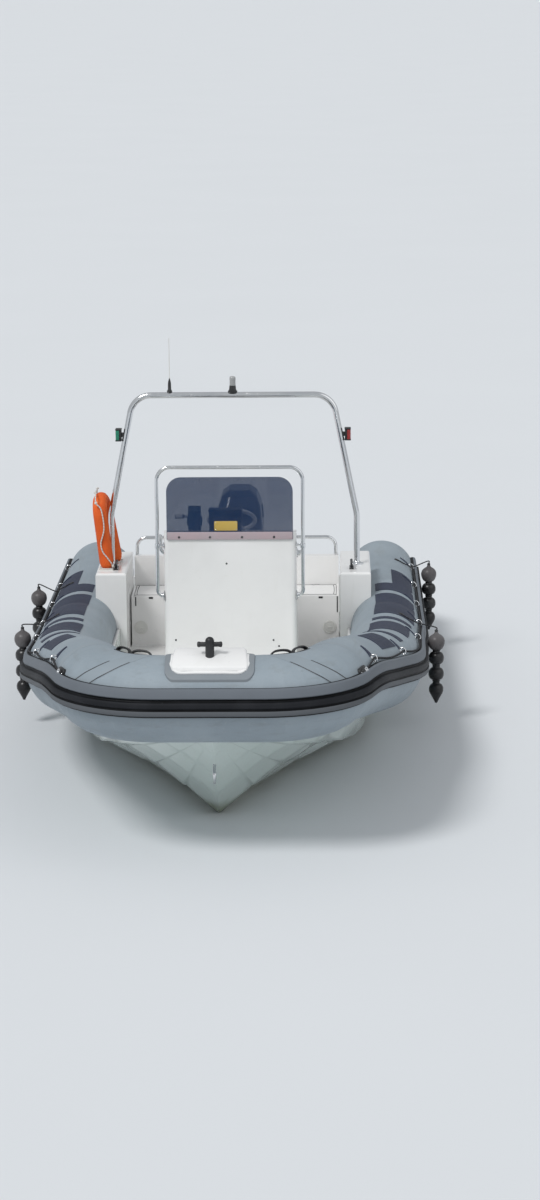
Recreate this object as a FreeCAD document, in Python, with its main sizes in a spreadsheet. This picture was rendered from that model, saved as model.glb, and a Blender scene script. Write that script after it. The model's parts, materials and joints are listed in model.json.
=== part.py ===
import FreeCAD, Part
import math
import os

import Sketcher
from FreeCAD import Placement, Rotation, Vector

# Rigid inflatable boat: glass-fibre hull, inflated collar, console, A-frame and one outboard.
# Millimetres. The bow points along -Y, +X is to port, Z = 0 is the waterline and Y = 0 is half
# way along the collar. "aft" values are distances aft of the front of the bow strake.

# alias, size, what it is
SIZES = [
    ("length_overall", 6600, "front of the bow strake to the tips of the stern cones"),
    ("beam_overall", 2690, "over the rubbing strakes"),
    ("contact_gap", 0.3, "clearance between curved faces that seat on each other"),
    ("moving_gap", 5, "clearance round a piece that moves"),
    ("tube_radius", 245, "inflated tube"),
    ("tube_stern_height", 455, "tube axis at the stern"),
    ("tube_straight", 4600, "aft of this the tube is straight and level"),
    ("tube_bow_height", 950, "tube axis at the bow"),
    ("tube_bow_half_flat", 300, "half of the straight run of tube across the bow"),
    ("bow_corner_radius", 365, "bend of the tube's axis at each corner of the bow"),
    ("bow_corner_turn", 74, "degrees that each corner of the bow turns"),
    ("bow_tube_arc", 830, "tube length from the centreline to the joint of the bow tube"),
    ("cone_length", 350, "stern cone"),
    ("cone_tip_radius", 90, "small end of the stern cone"),
    ("strake_depth", 40, "how far the rubbing strake stands out of the tube"),
    ("strake_half_height", 82, "half of the height of the rubbing strake"),
    ("strake_rise", 8, "degrees that the strake's middle lies above the tube's axis"),
    ("patch_thickness", 3, "wear patch glued to the tube"),
    ("stern_tail", 750, "transom's aft face to the cone tips"),
    ("transom_thickness", 60, "transom board"),
    ("transom_top", 520, "top of the transom board beside the cut-out"),
    ("transom_cut_height", 340, "bottom of the engine cut-out"),
    ("transom_cut_half", 330, "half width of the engine cut-out"),
    ("sole_height", 250, "cockpit sole"),
    ("foredeck_height", 600, "foredeck behind the bow tube"),
    ("foredeck_end", 1450, "aft edge of the foredeck"),
    ("foredeck_drop", 100, "foredeck at the bow, below the tube's axis"),
    ("liner_thickness", 25, "hull liner inside the tube"),
    ("chine_flat", 45, "width of the flat along the chine"),
    ("rail_width", 16, "spray rail"),
    ("bow_step_half", 219, "half width of the bow step at its front"),
    ("bow_step_taper", 20, "how much narrower each side of the step is at its rear"),
    ("bow_step_corner", 38, "rounding of the bow step seen from above"),
    ("bow_leg_half", 190, "half width of the step's leg behind the bow tube"),
    ("bow_pad_half", 249, "half width of the rubber pad under the bow step"),
    ("bow_pad", 9, "thickness of the rubber pad under the bow step"),
    ("post_radius", 25, "samson post"),
    ("post_height", 85, "samson post above the step"),
    ("post_aft", 225, "samson post"),
    ("console_from_stern", 2880, "cone tips to the front face of the console"),
    ("console_depth", 500, "console, fore and aft"),
    ("console_half", 445, "half width of the console"),
    ("console_top", 1250, "front lip of the console"),
    ("console_corner", 35, "rounding of the console's upright corners"),
    ("console_skirt", 25, "how far the foot of the console flares out"),
    ("screen_half", 424, "half width of the windscreen"),
    ("screen_top", 1624, "top of the windscreen"),
    ("screen_overlap", 50, "windscreen over the console's lip"),
    ("screen_thickness", 6, "acrylic windscreen"),
    ("screen_corner", 100, "rounding of the windscreen's top corners"),
    ("hoop_half", 490, "windscreen hoop, centreline to tube axis"),
    ("hoop_top", 1685, "axis of the hoop's top run"),
    ("hoop_foot", 810, "where the hoop's legs enter the console's sides"),
    ("small_tube_radius", 12.5, "stainless tube of the hoop and rails"),
    ("wheel_radius", 158, "steering wheel, to the rim's axis"),
    ("wheel_rim", 13, "half thickness of the wheel's rim"),
    ("wheel_stand", 150, "wheel's plane above the dash"),
    ("bench_from_stern", 1930, "cone tips to the front face of the stern bench"),
    ("bench_depth", 400, "stern bench, front face to backrest"),
    ("bench_top", 610, "top of the bench"),
    ("bench_half", 733, "half width of the bench"),
    ("bench_wall", 25, "wall of the bench moulding"),
    ("lid_thickness", 30, "seat lid"),
    ("lid_ledge", 20, "ledge that a seat lid rests on"),
    ("back_thickness", 60, "backrest bulkhead"),
    ("back_top", 820, "top of the backrest"),
    ("pod_from_stern", 2300, "cone tips to the front of the side pods"),
    ("pod_length", 800, "side pods"),
    ("pod_inner", 742, "inner face of the side pods"),
    ("pod_outer", 955, "outer edge of the side pods' top"),
    ("pod_top", 850, "top of the side pods"),
    ("frame_half", 860, "A-frame foot, centreline to tube axis"),
    ("frame_top_half", 690, "A-frame's upper corner, centreline to tube axis"),
    ("frame_top", 2050, "axis of the A-frame's top bar"),
    ("frame_kink", 1210, "where the A-frame's legs start to lean in"),
    ("frame_from_stern", 1990, "cone tips to the A-frame's legs"),
    ("frame_tube_radius", 21, "A-frame's tube"),
    ("frame_bend", 150, "bend radius of the A-frame's upper corners"),
    ("stern_rail_half", 734, "stern rail's foot, centreline to tube axis"),
    ("stern_rail_top", 950, "axis of the stern rail"),
    ("fender_radius", 48, "fender ball"),
    ("fender_pitch", 107, "spacing of the fender balls"),
    ("rope_radius", 6, "lifeline"),
    ("buoy_radius", 48, "half thickness of the horseshoe buoy"),
    ("buoy_top", 1370, "top of the horseshoe buoy"),
    ("pivot_height", 405, "engine's tilt axis"),
    ("pivot_ahead", 30, "tilt axis ahead of the transom's aft face"),
    ("steer_behind", 110, "steering axis behind the transom's aft face"),
    ("tilt_tube_radius", 20, "tilt tube"),
    ("kingpin_radius", 18, "steering pin"),
    ("running_gap", 0.1, "radial clearance of pins and shafts"),
    ("cowl_top", 1150, "top of the engine cowl"),
    ("cowl_bottom", 560, "lower edge of the cowl"),
    ("cowl_half", 175, "half width of the cowl"),
    ("cowl_length", 590, "cowl, fore and aft"),
    ("cowl_ahead", 190, "cowl ahead of the steering axis"),
    ("plate_depth", 370, "ventilation plate below the waterline"),
    ("shaft_depth", 575, "propeller shaft below the waterline"),
    ("gearcase_radius", 55, "gearcase"),
    ("propeller_radius", 180, "propeller"),
]


class Size:
    """A number with the spreadsheet expression that gives it."""

    def __init__(self, value, text):
        self.value = float(value)
        self.text = text

    def join(self, other, sign, value):
        text = other.text if isinstance(other, Size) else repr(float(other))
        return Size(value, "(" + self.text + " " + sign + " " + text + ")")

    def __add__(self, other):
        return self.join(other, "+", self.value + float(other))

    def __radd__(self, other):
        return self.join(other, "+", self.value + float(other))

    def __sub__(self, other):
        return self.join(other, "-", self.value - float(other))

    def __rsub__(self, other):
        return (-self).join(other, "+", float(other) - self.value)

    def __mul__(self, other):
        return self.join(other, "*", self.value * float(other))

    def __rmul__(self, other):
        return self.join(other, "*", self.value * float(other))

    def __truediv__(self, other):
        return self.join(other, "/", self.value / float(other))

    def __neg__(self):
        return Size(-self.value, "(0 - " + self.text + ")")

    def __float__(self):
        return self.value


doc = FreeCAD.newDocument("rib_boat")
sheet = doc.addObject("Spreadsheet::Sheet", "Sizes")
size = {}
for row, (alias, value, meaning) in enumerate(SIZES, start=1):
    sheet.set("A%d" % row, meaning)
    sheet.set("B%d" % row, str(value))
    sheet.setAlias("B%d" % row, alias)
    size[alias] = Size(value, "Sizes." + alias)
doc.recompute()

nodes = []
ORIGIN = Vector(0, 0, 0)
TO_PORT = Vector(1, 0, 0)
TO_STERN = Vector(0, 1, 0)
UP = Vector(0, 0, 1)


def number(value):
    return float(value)


def aft(distance):
    """Y of a place that lies this far aft of the bow strake."""
    return distance - size["length_overall"] / 2


def before_stern(alias):
    """Distance aft of the bow of a piece that is placed from the cone tips."""
    return size["length_overall"] - size[alias]


def share_of_length(thousandths):
    return thousandths * number(size["length_overall"]) / 1000


def feature(label, shape):
    """A sub-part whose shape is worked out from the sheet by the functions below."""
    item = doc.addObject("Part::Feature", label)
    item.Label = label
    item.Shape = shape
    nodes.append(item)
    return item


def bind(item, name, value):
    """Set a property, and tie it to the sheet where the value comes from there."""
    if isinstance(value, Size):
        item.setExpression(name, value.text)
    else:
        setattr(item, name, value)


def place(item, corner):
    for axis, value in zip("xyz", corner):
        if not isinstance(value, Size):
            value = Size(value, repr(float(value)))
        item.setExpression(".Placement.Base." + axis, value.text)


def box(name, low, high):
    """A block between two opposite corners."""
    item = doc.addObject("Part::Box", name)
    for side, a, b in zip(("Length", "Width", "Height"), low, high):
        bind(item, side, b - a)
    place(item, low)
    return item


def cut(name, base, tools):
    item = doc.addObject("Part::Cut", name)
    item.Base = base
    item.Tool = tools[0] if len(tools) == 1 else fuse(name + "_tools", tools)
    return item


def fuse(name, parts):
    item = doc.addObject("Part::MultiFuse", name)
    item.Shapes = parts
    return item


def node(label, item):
    item.Label = label
    nodes.append(item)
    return item


def sketch(body, role, points, offset=None):
    """A closed outline on one of the body's own planes, every corner tied to the sheet."""
    plane = [f for f in body.Origin.OriginFeatures if f.Role == role][0]
    item = body.newObject("Sketcher::SketchObject", body.Name + "_outline")
    item.AttachmentSupport = (plane, [""])
    item.MapMode = "FlatFace"
    if offset is not None:
        bind_offset = offset if isinstance(offset, Size) else Size(offset, repr(float(offset)))
        item.setExpression(".AttachmentOffset.Base.z", bind_offset.text)
    count = len(points)
    for i, (a, b) in enumerate(points):
        c, d = points[(i + 1) % count]
        start = Vector(number(a), number(b), 0)
        item.addGeometry(Part.LineSegment(start, Vector(number(c), number(d), 0)))
    for i in range(count):
        item.addConstraint(Sketcher.Constraint("Coincident", i, 2, (i + 1) % count, 1))
    for i, corner in enumerate(points):
        for kind, value in zip(("DistanceX", "DistanceY"), corner):
            rule = Sketcher.Constraint(kind, -1, 1, i, 1, number(value))
            index = item.addConstraint(rule)
            if isinstance(value, Size):
                item.setExpression("Constraints[%d]" % index, value.text)
    return item


def pad(label, role, points, length, offset=None, symmetric=False, reverse=False):
    """A body padded from an outline."""
    body = doc.addObject("PartDesign::Body", label)
    outline = sketch(body, role, points, offset)
    item = body.newObject("PartDesign::Pad", label + "_pad")
    item.Profile = outline
    bind(item, "Length", length)
    item.SideType = "Symmetric" if symmetric else "One side"
    item.Reversed = reverse
    doc.recompute()
    return body


def round_edges(body, radius, chosen):
    """Fillet the edges of a body's last feature that a test picks by their two ends."""
    last = body.Tip
    names = []
    for i, edge in enumerate(last.Shape.Edges, start=1):
        if len(edge.Vertexes) == 2 and chosen(edge.Vertexes[0].Point, edge.Vertexes[1].Point):
            names.append("Edge%d" % i)
    item = body.newObject("PartDesign::Fillet", body.Name + "_round")
    item.Base = (last, names)
    bind(item, "Radius", radius)
    doc.recompute()
    return item


def mirrored(shape):
    return shape.mirror(ORIGIN, TO_PORT)


def pair(shape):
    """A shape and its mirror image on the other side of the boat."""
    return Part.makeCompound([shape, mirrored(shape)])


def polygon(points):
    return Part.makePolygon(list(points) + [points[0]])


def corner_arc(before, corner, after, radius):
    """Tangent points and middle of the arc that rounds a corner of a path."""
    to_before = (before - corner).normalize()
    to_after = (after - corner).normalize()
    half = to_before.getAngle(to_after) / 2
    reach = radius / math.tan(half)
    inner = (to_before + to_after).normalize()
    middle = corner + inner * (radius / math.sin(half) - radius)
    return corner + to_before * reach, middle, corner + to_after * reach


def path_wire(points, radii):
    """Straight runs joined by tangent arcs; one radius per inner corner."""
    points = [Vector(*[number(c) for c in p]) for p in points]
    edges = []
    start = points[0]
    for i in range(1, len(points) - 1):
        first, middle, last = corner_arc(points[i - 1], points[i], points[i + 1], radii[i - 1])
        if (first - start).Length > 1e-6:
            edges.append(Part.LineSegment(start, first).toShape())
        edges.append(Part.Arc(first, middle, last).toShape())
        start = last
    if (points[-1] - start).Length > 1e-6:
        edges.append(Part.LineSegment(start, points[-1]).toShape())
    return Part.Wire(edges)


def tube(points, radius, bend):
    """A round bar along a path; bend is one radius or one per inner corner."""
    inner = len(points) - 2
    radii = list(bend) if isinstance(bend, (list, tuple)) else [number(bend)] * inner
    path = path_wire(points, radii)
    first = path.Edges[0]
    begin = first.valueAt(first.FirstParameter)
    tangent = first.tangentAt(first.FirstParameter)
    if begin.distanceToPoint(Vector(*[number(c) for c in points[0]])) > 1e-3:
        begin = first.valueAt(first.LastParameter)
        tangent = first.tangentAt(first.LastParameter) * -1
    ring = Part.Wire([Part.Circle(begin, tangent, number(radius)).toShape()])
    return path.makePipeShell([ring], True, False)


def natural_bends(points):
    """The largest arc that each corner's two runs leave room for."""
    points = [Vector(*[number(c) for c in p]) for p in points]
    radii = []
    for i in range(1, len(points) - 1):
        back = points[i - 1] - points[i]
        ahead = points[i + 1] - points[i]
        turn = math.pi - back.getAngle(ahead)
        radii.append(0.45 * min(back.Length, ahead.Length) / math.tan(turn / 2))
    return radii


# Collar: the port tube's axis aft of the bow corner.
# aft of the bow, inset from the full half-breadth, share of the rise from stern to bow
COLLAR_TURNS = [
    (741, 355, 0.978),
    (1060, 289, 0.859),
    (1460, 209, 0.707),
    (2035, 95, 0.485),
    (3000, 33, 0.202),
    (3800, 8, 0.065),
]
TIGHT_STEP = 75
LONG_STEP = 260
TIGHT_END = 1150

tube_radius = number(size["tube_radius"])
bow_axis_aft = size["strake_depth"] + size["tube_radius"]
collar_half = size["beam_overall"] / 2 - size["strake_depth"] - size["tube_radius"]
cone_start = size["length_overall"] - size["cone_length"]
bow_flat = number(size["tube_bow_half_flat"])
corner_radius = number(size["bow_corner_radius"])
corner_turn = math.radians(number(size["bow_corner_turn"]))


class Station:
    """A place on the tube's axis with its outward and upward directions."""

    def __init__(self, centre, tangent):
        self.centre = centre
        self.tangent = tangent
        self.out = tangent.cross(UP).normalize()
        self.rise = self.out.cross(tangent).normalize()

    def point(self, radius, degrees):
        """Point at a radius and an angle that rises from straight outboard."""
        angle = math.radians(degrees)
        return self.centre + (self.out * math.cos(angle) + self.rise * math.sin(angle)) * radius

    def offset(self, outward, upward):
        return self.centre + self.out * outward + self.rise * upward

    def mirror(self):
        c, t = self.centre, self.tangent
        return Station(Vector(-c.x, c.y, c.z), Vector(t.x, -t.y, -t.z))


def bow_station(length):
    """Station on the straight run across the bow or on the corner after it."""
    front = number(aft(bow_axis_aft))
    height = number(size["tube_bow_height"])
    if length <= bow_flat:
        return Station(Vector(length, front, height), TO_PORT * 1.0)
    turn = (length - bow_flat) / corner_radius
    centre = Vector(bow_flat + corner_radius * math.sin(turn),
                    front + corner_radius * (1 - math.cos(turn)), height)
    return Station(centre, Vector(math.cos(turn), math.sin(turn), 0))


corner_end = bow_flat + corner_radius * corner_turn
straight_y = number(aft(size["tube_straight"]))


def side_axis():
    """Curve along the port tube's axis from the bow corner to its straight run."""
    start = bow_station(corner_end)
    stern = number(size["tube_stern_height"])
    whole_rise = number(size["tube_bow_height"]) - stern
    points = [start.centre]
    for distance, inset, rise in COLLAR_TURNS:
        points.append(Vector(number(collar_half - inset), number(aft(distance)),
                             stern + whole_rise * rise))
    points.append(Vector(number(collar_half), straight_y, stern))
    curve = Part.BSplineCurve()
    curve.interpolate(Points=points, InitialTangent=start.tangent, FinalTangent=TO_STERN * 1.0)
    return curve


side_curve = side_axis()
side_first, side_last = side_curve.FirstParameter, side_curve.LastParameter
side_end = corner_end + side_curve.length(side_first, side_last)
axis_length = side_end + number(cone_start - size["tube_straight"])


def side_station(where):
    return Station(side_curve.value(where), side_curve.tangent(where)[0].normalize())


def station(length):
    """Station at a length of tube from the centreline of the bow."""
    if length <= corner_end:
        return bow_station(length)
    if length >= side_end:
        centre = side_curve.value(side_last) + TO_STERN * (length - side_end)
        return Station(centre, TO_STERN * 1.0)
    return side_station(side_curve.parameterAtDistance(length - corner_end, side_first))


def length_at(distance):
    """Length of tube at which its side lies this far aft of the bow."""
    beyond = distance - number(size["tube_straight"])
    if beyond >= 0:
        return side_end + beyond
    low, high = side_first, side_last
    for _ in range(40):
        middle = (low + high) / 2
        if side_curve.value(middle).y < number(aft(distance)):
            low = middle
        else:
            high = middle
    return corner_end + side_curve.length(side_first, low)


def lengths_between(first, last):
    """Tube lengths for a loft: close together round the bow, wider apart along the side."""
    marks = [0.0, bow_flat]
    while marks[-1] < side_end - 1:
        step = TIGHT_STEP if marks[-1] < TIGHT_END else LONG_STEP
        marks.append(min(marks[-1] + step, side_end))
    inner = [m for m in marks if first + 25 < m < last - 25]
    return [first] + inner + [last]


def marks_of_tubes():
    joint = number(size["bow_tube_arc"])
    return lengths_between(0.0, joint)[:-1] + lengths_between(joint, axis_length)


skin_marks = marks_of_tubes()


def skin_station(length):
    """Station on the tube as it is made, between two of its sections."""
    for low, high in zip(skin_marks, skin_marks[1:]):
        if low <= length <= high:
            share = (length - low) / (high - low)
            a, b = station(low), station(high)
            centre = a.centre + (b.centre - a.centre) * share
            return Station(centre, (a.tangent + (b.tangent - a.tangent) * share).normalize())
    return station(length)


def ring(place_on_tube, radius):
    """Section of the tube as two half circles that start straight outboard."""
    p = [place_on_tube.point(radius, degrees) for degrees in (0, 90, 180, 270)]
    return Part.Wire([Part.Arc(p[0], p[1], p[2]).toShape(), Part.Arc(p[2], p[3], p[0]).toShape()])


def loft(wires):
    return Part.makeLoft(wires, True, True)


def side_tube(radius, tip_radius):
    """Port tube from the bow joint to the tip of its cone."""
    marks = lengths_between(number(size["bow_tube_arc"]), axis_length)
    wires = [ring(station(m), radius) for m in marks]
    end = station(axis_length)
    tip = Station(end.centre + TO_STERN * number(size["cone_length"]), TO_STERN * 1.0)
    wires.append(ring(tip, tip_radius))
    return loft(wires)


def bow_tube(radius):
    marks = lengths_between(0.0, number(size["bow_tube_arc"]))
    port = [station(m) for m in marks]
    starboard = [s.mirror() for s in reversed(port[1:])]
    return loft([ring(s, radius) for s in starboard + port])


tip_radius = number(size["cone_tip_radius"])
gap = number(size["contact_gap"])
feature("tube_bow", bow_tube(tube_radius))
port_tube = side_tube(tube_radius, tip_radius)
feature("tube_port", port_tube)
feature("tube_starboard", mirrored(port_tube))
port_seat = side_tube(tube_radius + gap, tip_radius)
collar_seat = [bow_tube(tube_radius + gap), port_seat, mirrored(port_seat)]


def clear_of_collar(shape):
    """What is left of a shape where it seats against the tubes."""
    return shape.cut(collar_seat)


# Rubbing strake: one ribbed rubber section all round the collar.
# height as a share of the half height, depth as a share of the full depth
STRAKE_RIBS = [
    (1.00, 0.20), (0.86, 0.62), (0.30, 0.66), (0.18, 0.40), (0.08, 0.40), (0.00, 1.00),
    (-0.34, 1.00), (-0.42, 0.72), (-0.50, 0.72), (-0.58, 0.92), (-0.84, 0.86), (-1.00, 0.20),
]


STRAKE_CHORDS = 5


def strake_section(place_on_tube):
    half = number(size["strake_half_height"])
    depth = number(size["strake_depth"])
    rise = number(size["strake_rise"])
    turned = Rotation(place_on_tube.tangent, -rise)
    centre = place_on_tube.centre
    outer = []
    for up, out in STRAKE_RIBS:
        spot = place_on_tube.offset(tube_radius + depth * out, half * up) - centre
        outer.append(centre + turned.multVec(spot))
    angle = math.degrees(math.asin(half / tube_radius))
    chord = angle / STRAKE_CHORDS
    inner = (tube_radius + gap) / math.cos(math.radians(chord))
    back = [place_on_tube.point(inner, rise - angle + 2 * chord * i)
            for i in range(STRAKE_CHORDS + 1)]
    return polygon(outer + back)


def strake():
    joint = number(size["bow_tube_arc"])
    front = [station(m) for m in lengths_between(0.0, joint)]
    front = [s.mirror() for s in reversed(front[1:])] + front
    side = loft([strake_section(station(m)) for m in lengths_between(joint, axis_length)])
    return Part.makeCompound([loft([strake_section(s) for s in front]), side, mirrored(side)])


feature("rubbing_strake", strake())

# Wear patches on the tube tops: start and end in thousandths of the overall length, lower and
# upper angle. The last two are one stepped patch.
PATCHES = [
    (182, 246, 44, 84),
    (284, 302, 50, 108),
    (352, 440, 50, 113),
    (462, 477, 46, 110),
    (504, 654, 40, 108),
]
STEPPED_PATCH = [(671, 708, 38, 107), (708, 783, 38, 78)]


def patch(start, end, low, high):
    inner = tube_radius + gap
    outer = inner + number(size["patch_thickness"])
    wires = []
    for mark in lengths_between(length_at(share_of_length(start)), length_at(share_of_length(end))):
        s = skin_station(mark)
        middle = (low + high) / 2
        edges = [Part.Arc(s.point(inner, low), s.point(inner, middle), s.point(inner, high)),
                 Part.LineSegment(s.point(inner, high), s.point(outer, high)),
                 Part.Arc(s.point(outer, high), s.point(outer, middle), s.point(outer, low)),
                 Part.LineSegment(s.point(outer, low), s.point(inner, low))]
        wires.append(Part.Wire([e.toShape() for e in edges]))
    return loft(wires)


hull_length = size["length_overall"] - size["stern_tail"] - size["transom_thickness"]

# Hull frames under the foredeck: aft, keel height, chine half-breadth, chine height and the
# share of the foredeck's rise to the bow. Heights in thousandths of the bow tube's height.
BOW_FRAMES = [
    (430, 726, 40, 753, 1.00),
    (600, 568, 150, 674, 0.92),
    (800, 379, 310, 595, 0.56),
    (1000, 200, 450, 526, 0.32),
    (1290, -14, 580, 453, 0.08),
]
# Frames beside the cockpit: aft, keel height, chine half-breadth and height
COCKPIT_FRAMES = [
    (1810, -120, 740, 310),
    (2280, -170, 820, 220),
    (2680, -240, 860, 150),
    (2970, -300, 880, 90),
    (3400, -345, 890, 20),
    (4000, -380, 890, -10),
]
STEP_FRAME = (-52, 636, 395)
STERN_FRAME = (-380, 880, -30)
# Spray rails: share of the way out to the chine, share of the way up to it
RAIL_PLACES = ((0.36, 0.42), (0.68, 0.74))
# Where the frames under the bow tube end: half-breadth and depth below the tube's axis
BOW_EDGES = {430: (300, 20), 600: (560, 10)}


SOLE_COVE = 4


def hull_section(distance, keel, chine, chine_height, deck):
    """A hull frame: half of the outline and its mirror image."""
    if distance in BOW_EDGES:
        edge, below = BOW_EDGES[distance]
        edge_height = number(size["tube_bow_height"]) - below
    else:
        axis = station(length_at(distance)).centre
        edge, edge_height = axis.x, axis.z
    y = number(aft(distance))
    spread = min(1.0, chine / 700)
    flat_width = number(size["chine_flat"]) * spread
    step = number(size["rail_width"]) * spread
    inner_x = chine - flat_width
    inner_z = chine_height - flat_width * 0.15
    half = [(0, keel)]
    for out, up in RAIL_PLACES:
        x = inner_x * out
        z = keel + (inner_z - keel) * up
        half.append((x, z))
        half.append((x + step, z))
    half.append((inner_x, inner_z))
    half.append((chine, chine_height))
    half.append((edge, edge_height))
    wall = number(size["liner_thickness"])
    liner = edge - tube_radius - wall
    half.append((liner, edge_height))
    # The sole's edge turns up where the bottom rises to it
    steepness = (inner_z - keel) / inner_x
    skin = wall * 1.6
    floor_half = min(liner - SOLE_COVE, (deck - skin - keel) / steepness)
    half.append((liner, max(deck + SOLE_COVE, keel + steepness * liner + skin)))
    half.append((floor_half, deck))
    points = [Vector(x, y, z) for x, z in half]
    points += [Vector(-x, y, z) for x, z in reversed(half) if x > 0]
    return polygon(points)


def hull():
    foredeck = number(size["foredeck_height"])
    sole = number(size["sole_height"])
    step = number(size["foredeck_end"])
    bow = number(size["tube_bow_height"])
    rise = bow - number(size["foredeck_drop"]) - foredeck
    frames = []
    for distance, keel, chine, chine_height, share in BOW_FRAMES:
        frames.append((distance, keel * bow / 1000, chine, chine_height * bow / 1000,
                       foredeck + rise * share))
    frames.append((step,) + STEP_FRAME + (foredeck,))
    frames.append((step + 20,) + STEP_FRAME + (sole,))
    frames += [row + (sole,) for row in COCKPIT_FRAMES]
    frames.append((number(hull_length),) + STERN_FRAME + (sole,))
    return loft([hull_section(*frame) for frame in frames])


feature("hull_shell", clear_of_collar(hull()))

# Transom board with its engine cut-out
transom_front = aft(hull_length)
transom_y = transom_front + size["transom_thickness"]


def transom_board():
    keel, chine, chine_height = STERN_FRAME
    liner = number(collar_half - size["tube_radius"] - size["liner_thickness"])
    top, low = number(size["transom_top"]), number(size["transom_cut_height"])
    cut_half = number(size["transom_cut_half"])
    half = [(0, keel), (chine, chine_height), (number(collar_half), number(
        size["tube_stern_height"])), (liner, number(size["tube_stern_height"])), (liner, top),
        (cut_half, top), (cut_half - 40, low)]
    points = half + [(-x, z) for x, z in reversed(half) if x > 0]
    face = Part.Face(polygon([Vector(x, number(transom_front), z) for x, z in points]))
    board = face.extrude(TO_STERN * number(size["transom_thickness"]))
    return clear_of_collar(board)


feature("transom_board", transom_board())

# Tow eyes on the transom: plates with a shackle hole
eye_parts = []
for side in (-1, 1):
    plate = Part.makeBox(12, 60, 70, Vector(side * 520 - 6, number(transom_y), 60))
    plate = plate.cut(Part.makeCylinder(12, 12, Vector(side * 520 - 6, number(transom_y) + 34, 95),
                                        TO_PORT))
    eye_parts.append(plate)
feature("tow_eyes", Part.makeCompound(eye_parts))


# Bow step: moulding on the bow tube that comes down behind it to the foredeck
def deck_height(distance):
    """Height of the foredeck, which falls from the bow to its aft edge."""
    foredeck = number(size["foredeck_height"])
    rise = number(size["tube_bow_height"]) - number(size["foredeck_drop"]) - foredeck
    for (a, *_, share_a), (b, *_, share_b) in zip(BOW_FRAMES, BOW_FRAMES[1:]):
        if a <= distance <= b:
            part = (distance - a) / (b - a)
            return foredeck + rise * (share_a + (share_b - share_a) * part)
    return foredeck


def side_profile(points, half):
    """A solid as wide as twice a half width from a profile of aft distances and heights."""
    face = Part.Face(polygon([Vector(-half, number(aft(d)), z) for d, z in points]))
    return face.extrude(Vector(2 * half, 0, 0))


def plan_prism(points, low, high, corner):
    """An upright prism over a plan outline, its upright edges rounded."""
    face = Part.Face(polygon([Vector(x, y, low) for x, y in points]))
    prism = face.extrude(UP * (high - low))
    upright = [e for e in prism.Edges if abs(e.Vertexes[0].Z - e.Vertexes[1].Z) > 1]
    return prism.makeFillet(corner, upright)


tube_crown = number(size["tube_bow_height"]) + tube_radius
# The step's top at its front edge, middle and rear edge: distance aft, height over the tube
STEP_TOP = [(128, -27), (215, 14), (350, 37)]
EDGE_ROUND = 14


def bow_step():
    half = number(size["bow_step_half"])
    narrow = half - number(size["bow_step_taper"])
    low, high = tube_crown - 180, tube_crown + 120
    (front, _), _, (rear, _) = STEP_TOP
    start, end = number(aft(front - 12)), number(aft(rear + 8))
    plan = plan_prism([(-half, start), (half, start), (narrow, end), (-narrow, end)],
                      low, high, number(size["bow_step_corner"]))
    a, b, c = [Vector(-half - 50, number(aft(d)), tube_crown + rise) for d, rise in STEP_TOP]
    lower_front = Vector(a.x, number(aft(front - 14)), low)
    lower_rear = Vector(a.x, number(aft(rear + 10)), low)
    edges = [Part.LineSegment(lower_front, a), Part.Arc(a, b, c), Part.LineSegment(c, lower_rear),
             Part.LineSegment(lower_rear, lower_front)]
    profile = Part.Face(Part.Wire([e.toShape() for e in edges]))
    block = plan.common(profile.extrude(Vector(2 * half + 100, 0, 0)))
    top = max(block.Faces, key=lambda f: f.CenterOfMass.z)
    block = block.makeFillet(EDGE_ROUND, top.Edges)
    marks = (660, 600, 565)
    foot = [(mark, deck_height(mark) + gap) for mark in marks]
    foot.append((548, tube_crown - 250))
    leg = side_profile([(340, tube_crown - 45), (352, tube_crown + 10), (430, tube_crown - 5),
                        (600, tube_crown - 235)] + foot, number(size["bow_leg_half"]))
    return clear_of_collar(block.fuse(leg).removeSplitter())


step_shape = bow_step()
feature("bow_step", step_shape)


def bow_pad():
    """Rubber pad moulded to the tube round the front of the step."""
    wide = number(size["bow_pad_half"])
    lip = tube_radius + number(size["bow_pad"])
    axis = Vector(-wide, number(aft(bow_axis_aft)), number(size["tube_bow_height"]))
    front = number(aft(STEP_TOP[0][0] - 42))
    rear = axis.y + 40
    plan = plan_prism([(-wide, front), (wide, front), (wide, rear), (-wide, rear)],
                      tube_crown - 150, tube_crown + 40, 50)
    shell = Part.makeCylinder(lip, 2 * wide, axis, TO_PORT).common(plan)
    return clear_of_collar(shell).cut(step_shape)


feature("bow_pad", bow_pad())

post = number(size["post_radius"])
post_y = number(aft(size["post_aft"]))
post_foot = tube_crown + STEP_TOP[1][1] + 1


def samson_post():
    top = post_foot + number(size["post_height"])
    shaft = Part.makeCylinder(post, top + 30 - post_foot, Vector(0, post_y, post_foot - 30), UP)
    head = Part.makeCylinder(post * 0.55, 136, Vector(-68, post_y, top - 18), TO_PORT)
    cap = Part.makeSphere(post, Vector(0, post_y, top))
    return clear_of_collar(shaft.fuse([head, cap])).cut(step_shape)


feature("samson_post", samson_post())

# Bow eye: a U-bolt through the stem, heights in thousandths of the bow tube's height
BOW_EYE = [(775, 405), (700, 358), (650, 421), (700, 484)]
eye_points = [(0, aft(d), z * number(size["tube_bow_height"]) / 1000) for d, z in BOW_EYE]
bow_eye = tube(eye_points, 9, [25, 25])
feature("bow_eye", bow_eye.cut(doc.getObject("hull_shell").Shape))

# Console: a padded side profile with rounded corners
console_y = aft(before_stern("console_from_stern"))
console_rear = console_y + size["console_depth"]
dash_top = console_y + 260
sole = size["sole_height"]
lip = size["console_top"]
skirt = size["console_skirt"]
console = pad("console_shell", "YZ_Plane", [
    (console_y - skirt, sole), (console_y - skirt, sole + 30), (console_y, sole + 110),
    (console_y, lip), (console_y + 40, lip), (dash_top, lip - 35),
    (console_rear, lip - 215), (console_rear, sole)], size["console_half"] * 2, symmetric=True)


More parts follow.
